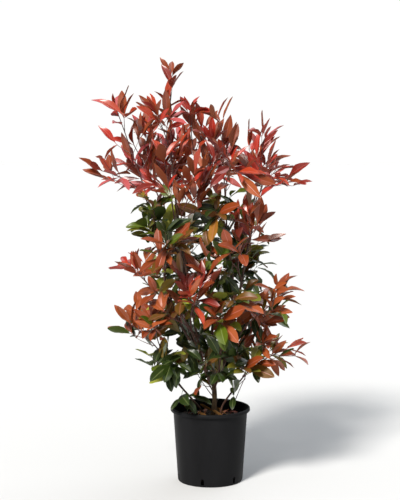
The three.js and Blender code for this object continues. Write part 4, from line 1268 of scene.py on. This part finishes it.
def cut_slots(piece, foot):
    """Cut the drain slots through the foot of the wall."""
    points, faces = slot_cutters(foot)
    mesh = bpy.data.meshes.new("slot_cutter")
    mesh.from_pydata([tuple(MM * value for value in point) for point in points], [], faces)
    cutter = bpy.data.objects.new("slot_cutter", mesh)
    bpy.context.scene.collection.objects.link(cutter)
    cut = piece.modifiers.new("slots", "BOOLEAN")
    cut.operation = "DIFFERENCE"
    cut.object = cutter
    graph = bpy.context.evaluated_depsgraph_get()
    made = bpy.data.meshes.new_from_object(piece.evaluated_get(graph))
    piece.modifiers.clear()
    piece.data = made
    made.set_sharp_from_angle(angle=math.radians(POT_SHARP))
    bpy.data.objects.remove(cutter)


class PHOTINIA_OT_compost(bpy.types.Operator):
    """Build the compost, its crumbs and the dry leaves that lie on it"""
    bl_idname = "photinia.compost"
    bl_label = "Compost and dry leaves"

    def execute(self, context):
        settings = context.scene.photinia_pot
        pot = PotShape(settings)
        soil = mottled("compost", settings.compost, settings.compost_dry, (160.0, 700.0),
                       (1, 1, 1), (0.85, 0.98), 0.8, 0.002)
        build_compost(soil, pot)
        reach = pot.outside_at(COMPOST_LEVEL) - pot.wall - COMPOST_GAP
        build_crumbs(soil, reach)
        build_fallen_leaves(reach)
        return {"FINISHED"}


def build_compost(soil, pot):
    """The compost: set back behind the drain slots, rough on top."""
    foot, shoulder, top = (pot.outside_at(height) - pot.wall - COMPOST_GAP
                           for height in (FOOT_ROUND, COMPOST_STEP_HIGH, COMPOST_LEVEL))
    floor = POT_FLOOR + COMPOST_GAP
    flat = top - COMPOST_EDGE_WIDTH
    rings = [(0, floor), (foot - COMPOST_SET_BACK[0], floor),
             (foot - COMPOST_SET_BACK[1], COMPOST_STEP_LOW), (shoulder, COMPOST_STEP_HIGH),
             (top, COMPOST_LEVEL - COMPOST_EDGE_DROP)]
    rings += [(flat - flat * step / COMPOST_RINGS, COMPOST_LEVEL)
              for step in range(COMPOST_RINGS)]
    rings.append((0, COMPOST_LEVEL))
    points, faces = lathe(rings, COMPOST_SIDES)
    for point in points:
        if point[2] >= COMPOST_LEVEL - COMPOST_EDGE_DROP:
            lumps = sum(height * noise.noise(Vector(point) * scale)
                        for scale, height in COMPOST_LUMPS)
            point[2] += lumps - COMPOST_SETTLING
    new_piece("compost_bed", points, faces, [soil], ["compost"], sharp=70)


def icosahedron():
    """The corners and faces of a solid with twenty triangles, whose edges are 2 long."""
    golden = (1 + math.sqrt(5)) / 2
    corners = [vec(corner) for a, b in ((1, golden), (-1, golden), (1, -golden), (-1, -golden))
               for corner in ((0, a, b), (a, b, 0), (b, 0, a))]
    count = len(corners)
    faces = []
    for i, j, k in ((i, j, k) for i in range(count) for j in range(i + 1, count)
                    for k in range(j + 1, count)):
        a, b, c = corners[i], corners[j], corners[k]
        if max(math.dist(a, b), math.dist(b, c), math.dist(c, a)) < 2.1:
            faces.append((i, j, k) if cross(b - a, c - a).dot(a) > 0 else (i, k, j))
    return corners, sorted(faces)


def build_crumbs(soil, reach):
    """Small lumps of compost and a few pale grains."""
    corners, faces_one = icosahedron()
    points, faces, finish = [], [], []
    for lump in range(CRUMBS):
        out = math.sqrt(chance(lump, 1)) * (reach - CRUMB_EDGE)
        turn = 2 * math.pi * chance(lump, 2)
        place = vec((out * math.cos(turn), out * math.sin(turn), COMPOST_LEVEL - CRUMB_DEPTH))
        size = between(*CRUMB_SIZES, lump, 3)
        faces += shifted(faces_one, len(points))
        points += [place + corner * size * between(*CRUMB_CORNERS, lump, index, 4)
                   for index, corner in enumerate(corners)]
        finish += [1 if chance(lump, 5) > 1 - PALE_CRUMBS else 0] * len(faces_one)
    grain = plain("pale_grain", (0.35, 0.33, 0.29), 0.8)
    new_piece("compost_crumbs", points, faces, [soil, grain], finish=finish, sharp=30)


def build_fallen_leaves(reach):
    """Dry curled leaves lying on the compost."""
    tints = (plain("dry_orange", (0.42, 0.13, 0.045), 0.6),
             plain("dry_pink", (0.4, 0.13, 0.1), 0.6),
             plain("dry_ochre", (0.45, 0.23, 0.07), 0.62))
    faces_one, _ = leaf_faces()
    points, faces, finish = [], [], []
    for index in range(FALLEN_LEAVES):
        turn = 2 * math.pi * (index * FALLEN_TURN + FALLEN_TURN_JITTER * chance(index, 41))
        out = between(*FALLEN_PLACES, index, 42) * reach
        root = vec((out * math.cos(turn), out * math.sin(turn), COMPOST_LEVEL + FALLEN_LIFT))
        heading = 2 * math.pi * chance(index, 43)
        rise = between(*FALLEN_RISES, index, 44)
        along = unit(vec((math.cos(heading), math.sin(heading), rise)))
        leaf = {"root": root, "along": along, "petiole": FALLEN_PETIOLE,
                "length": between(*FALLEN_LENGTHS, index, 45),
                "width": between(*FALLEN_WIDTHS, index, 46),
                "fold": math.radians(between(*FALLEN_FOLDS, index, 47)),
                "bend": between(*FALLEN_BENDS, index, 48),
                "twist": between(-FALLEN_TWIST, FALLEN_TWIST, index, 49),
                "sickle": between(-FALLEN_SICKLE, FALLEN_SICKLE, index, 50),
                "wave": index, "shape": LEAF_KINDS["copper"]["shape"]}
        tip = root + along * (leaf["length"] + FALLEN_PETIOLE)
        past_edge = math.hypot(tip[0], tip[1]) > reach - FALLEN_EDGE
        if past_edge or math.hypot(tip[0] - TRUNK_LINE[0][0], tip[1]) < TRUNK_ROOM:
            leaf["along"] = unit(vec((-root[1], root[0], 8)))
            leaf["length"] *= FALLEN_SHRINK
        leaf["up"] = square_to(vec((0, 0, 1)), leaf["along"])
        faces += shifted(faces_one, len(points))
        points += list(leaf_points(leaf))
        finish += [index % len(tints)] * len(faces_one)
    new_piece("fallen_leaves", points, faces, tints, finish=finish)


def bark_relief(bark, length):
    """What bark adds to a limb's radius: furrows along it, lumps, knots, a collar at its foot."""
    def relief(place, out, share):
        furrow = noise.noise(Vector((out[0] * FURROWS_ROUND, out[1] * FURROWS_ROUND,
                                     place[2] * FURROWS_ALONG)))
        lump = noise.noise(Vector(place) * bark["lumps"])
        knot = max(0.0, math.cos(2 * math.pi * share * length / KNOT_STEP)) ** KNOT_SHARPNESS
        collar = math.exp(-share * length / COLLAR_LENGTH)
        return (bark["depth"] * (FURROW_SHARE * furrow + LUMP_SHARE * lump)
                + bark["knot"] * knot + bark["collar"] * collar)
    return relief


def build_limb(limb, bark, name, material, node):
    """The piece of one limb, with its bark."""
    line = smooth_line(limb["places"], bark["step"])
    relief = bark_relief(bark, line_length(line))
    points = rod_points(line, limb["radius"], bark["sides"], relief)
    faces = rod_faces(len(line), bark["sides"])
    new_piece(name, points, faces, [material], [node], sharp=50)


class PHOTINIA_OT_limbs(bpy.types.Operator):
    """Build the trunk and every bough with the bark's relief"""
    bl_idname = "photinia.limbs"
    bl_label = "Trunk and boughs"

    def execute(self, context):
        bark = context.scene.photinia_bark
        trunk_bark = mottled("trunk_bark", bark.trunk_dark, bark.trunk_light, (110.0, 520.0),
                             (1, 1, 0.3), (0.75, 0.92), 0.5, 0.0012)
        bough_bark = mottled("bough_bark", bark.bough_dark, bark.bough_light, (160.0, 800.0),
                             (1, 1, 0.35), (0.5, 0.72), 0.35, 0.0006)
        for name, limb in grow_limbs().items():
            if name == "trunk":
                build_limb(limb, TRUNK_RELIEF, "main_stem", trunk_bark, "trunk")
            else:
                build_limb(limb, BOUGH_RELIEF, "limb_" + name, bough_bark,
                           "bough_" + name)
        return {"FINISHED"}


def grow_mass(garden, number):
    """The twigs of a mass with their radii, each cut back to its last leaf, and the leaves."""
    name = MASSES[number].name
    twigs, leaves, feet = [], [], []
    for index, (foot, line, radii) in reversed(list(enumerate(shoots_of(garden, number)))):
        leaf_seed, twig_seed = LEAF_SEEDS[name][index]
        fine, grown = fine_sprays(garden, number, index, line, twig_seed)
        own = leaves_of_shoot(garden, number, index, line, leaf_seed)
        carried = [leaf["at"] for leaf in own] + [share for share, _ in fine]
        carried += feet if index == 0 else []
        if carried:
            feet.append(foot)
            twigs.append((cut_back(line, max(carried)), radii))
            twigs += [(twig, FINE_RADII) for _, twig in fine]
            leaves += [(leaf, "foliage_" + name) for leaf in grown + own]
    return twigs, leaves


def grow_plant():
    """Every twig with its radii, and every leaf with the node it stands for."""
    garden = Garden()
    twigs, leaves = [], []
    for number in range(len(MASSES)):
        mass_twigs, mass_leaves = grow_mass(garden, number)
        twigs += mass_twigs
        leaves += mass_leaves
    for order, (bough, *_) in enumerate(BOUGHS):
        fine, grown = bough_spurs(garden, bough, order, SPUR_SEEDS[bough])
        twigs += [(twig, FINE_RADII) for twig in fine]
        leaves += [(leaf, None) for leaf in grown]
    for foot, bend, tip in BARE_CANES:
        twigs.append((bezier(vec(foot), vec(bend), vec(tip), CANE_STEPS), BARE_CANE_RADII))
    for order, seed in enumerate(SPRIG_SEEDS):
        twig, grown = sprig(garden, order, seed)
        twigs.append((twig, FINE_RADII))
        leaves += [(leaf, None) for leaf in grown]
    return twigs, leaves


PLANT = {}


def plant():
    """The grown plant, which two operators build from."""
    if not PLANT:
        PLANT["twigs"], PLANT["leaves"] = grow_plant()
    return PLANT


class PHOTINIA_OT_twigs(bpy.types.Operator):
    """Build the stems, side shoots and fine twigs of all masses"""
    bl_idname = "photinia.twigs"
    bl_label = "Twigs"

    def execute(self, context):
        bark = context.scene.photinia_bark
        material = plain("twig_bark", bark.twig, 0.42, coat=0.15, coat_roughness=0.3)
        points, faces = join_rods(plant()["twigs"], TWIG_SIDES)
        new_piece("twigs", points, faces, [material], LEAF_NODES, sharp=80)
        return {"FINISHED"}


def leaf_materials(tint, colour, gloss):
    """The upper face, the under face and the midrib of leaves of one tint."""
    reddish = colour[0] > REDDISH * colour[1]
    under = colour * UNDER_SHARE + np.array(RED_UNDER if reddish else GREEN_UNDER)
    rib = colour * RIB_SHARE + np.array(RED_RIB if reddish else GREEN_RIB)
    return [plain(tint + "_leaf", tuple(colour), 0.5, gloss, 0.3, 0.1),
            plain(tint + "_under", tuple(under), 0.55, specular=0.3),
            plain(tint + "_rib", tuple(rib), 0.4, 0.2, 0.3)]


class PHOTINIA_OT_leaves(bpy.types.Operator):
    """Build the leaves, one joined piece for each tint"""
    bl_idname = "photinia.leaves"
    bl_label = "Leaves"

    def execute(self, context):
        colours = context.scene.photinia_leaf
        faces_one, finish_one = leaf_faces()
        for tint in sorted({leaf["tint"] for leaf, _ in plant()["leaves"]}):
            group = [(leaf, node) for leaf, node in plant()["leaves"] if leaf["tint"] == tint]
            materials = leaf_materials(tint, np.array(getattr(colours, tint)), colours.gloss)
            points, faces = [], []
            for leaf, _ in group:
                faces += shifted(faces_one, len(points))
                points += list(leaf_points(leaf))
            nodes = sorted({node for _, node in group if node})
            new_piece("leaves_" + tint, points, faces, materials,
                      nodes, finish_one * len(group), sharp=75)
        return {"FINISHED"}


class PHOTINIA_OT_stage(bpy.types.Operator):
    """Build the floor, the soft lights and the camera"""
    bl_idname = "photinia.stage"
    bl_label = "Stage"

    def execute(self, context):
        stage = context.scene.photinia_stage
        scene = context.scene
        bpy.ops.mesh.primitive_plane_add(size=FLOOR_SIZE, location=(0, 0, 0))
        floor = context.object
        floor.name = "floor"
        floor.data.materials.append(plain("floor_paint", stage.floor, 1.0, specular=0.0))
        floor_light = stage.sky * vec(stage.sky_tone)
        for name, strength, tone, heading, angle in LIGHTS:
            strength, tone = getattr(stage, strength), getattr(stage, tone)
            heading = Vector(heading).normalized()
            light = bpy.data.lights.new(name, "SUN")
            light.energy = strength
            light.color = tone
            light.angle = math.radians(angle)
            holder = bpy.data.objects.new(name, light)
            holder.rotation_euler = heading.to_track_quat("Z", "Y").to_euler()
            scene.collection.objects.link(holder)
            floor_light += strength * heading.z / math.pi * vec(tone)
        scene.world = studio_world(stage.sky, stage.sky_tone, floor_light * vec(stage.floor))
        camera = bpy.data.cameras.new("camera")
        camera.lens = CAMERA_LENS
        camera.clip_end = 100
        holder = bpy.data.objects.new("camera", camera)
        holder.location = CAMERA_PLACE
        holder.rotation_euler = (math.pi / 2 - CAMERA_DROP, 0, 0)
        scene.collection.objects.link(holder)
        scene.camera = holder
        scene.view_settings.view_transform = "Standard"
        return {"FINISHED"}


def studio_world(strength, tone, backdrop):
    """Even light from all round, seen by the camera as the same tone as the lit floor."""
    world = bpy.data.worlds.new("studio")
    world.use_nodes = True
    nodes, links = world.node_tree.nodes, world.node_tree.links
    light = nodes["Background"]
    light.inputs["Color"].default_value = (*tone, 1)
    light.inputs["Strength"].default_value = strength
    seen = nodes.new("ShaderNodeBackground")
    seen.inputs["Color"].default_value = (*backdrop, 1)
    path = nodes.new("ShaderNodeLightPath")
    mix = nodes.new("ShaderNodeMixShader")
    links.new(path.outputs["Is Camera Ray"], mix.inputs[0])
    links.new(light.outputs["Background"], mix.inputs[1])
    links.new(seen.outputs["Background"], mix.inputs[2])
    links.new(mix.outputs["Shader"], nodes["World Output"].inputs["Surface"])
    return world


OPERATORS = (PHOTINIA_OT_pot, PHOTINIA_OT_compost, PHOTINIA_OT_limbs, PHOTINIA_OT_twigs,
             PHOTINIA_OT_leaves, PHOTINIA_OT_stage)
SETTINGS = {"photinia_pot": PotSettings, "photinia_leaf": LeafSettings,
            "photinia_bark": BarkSettings, "photinia_stage": StageSettings}


class PHOTINIA_PT_panel(bpy.types.Panel):
    """Lists the pieces of the potted shrub and their settings"""
    bl_idname = "PHOTINIA_PT_panel"
    bl_label = "Potted photinia"
    bl_space_type = "VIEW_3D"
    bl_region_type = "UI"
    bl_category = "Photinia"

    def draw(self, context):
        for operator in OPERATORS:
            self.layout.operator(operator.bl_idname)
        for name, group in SETTINGS.items():
            box = self.layout.box()
            box.label(text=group.__doc__)
            for key in group.__annotations__:
                box.prop(getattr(context.scene, name), key)


def register():
    for group in (*SETTINGS.values(), *OPERATORS, PHOTINIA_PT_panel):
        bpy.utils.register_class(group)
    for name, group in SETTINGS.items():
        setattr(bpy.types.Scene, name, bpy.props.PointerProperty(type=group))


def unregister():
    for name in SETTINGS:
        delattr(bpy.types.Scene, name)
    for group in reversed((*SETTINGS.values(), *OPERATORS, PHOTINIA_PT_panel)):
        bpy.utils.unregister_class(group)


def main():
    register()
    bpy.ops.photinia.pot()
    bpy.ops.photinia.compost()
    bpy.ops.photinia.limbs()
    bpy.ops.photinia.twigs()
    bpy.ops.photinia.leaves()
    bpy.ops.photinia.stage()


if __name__ == "__main__":
    main()
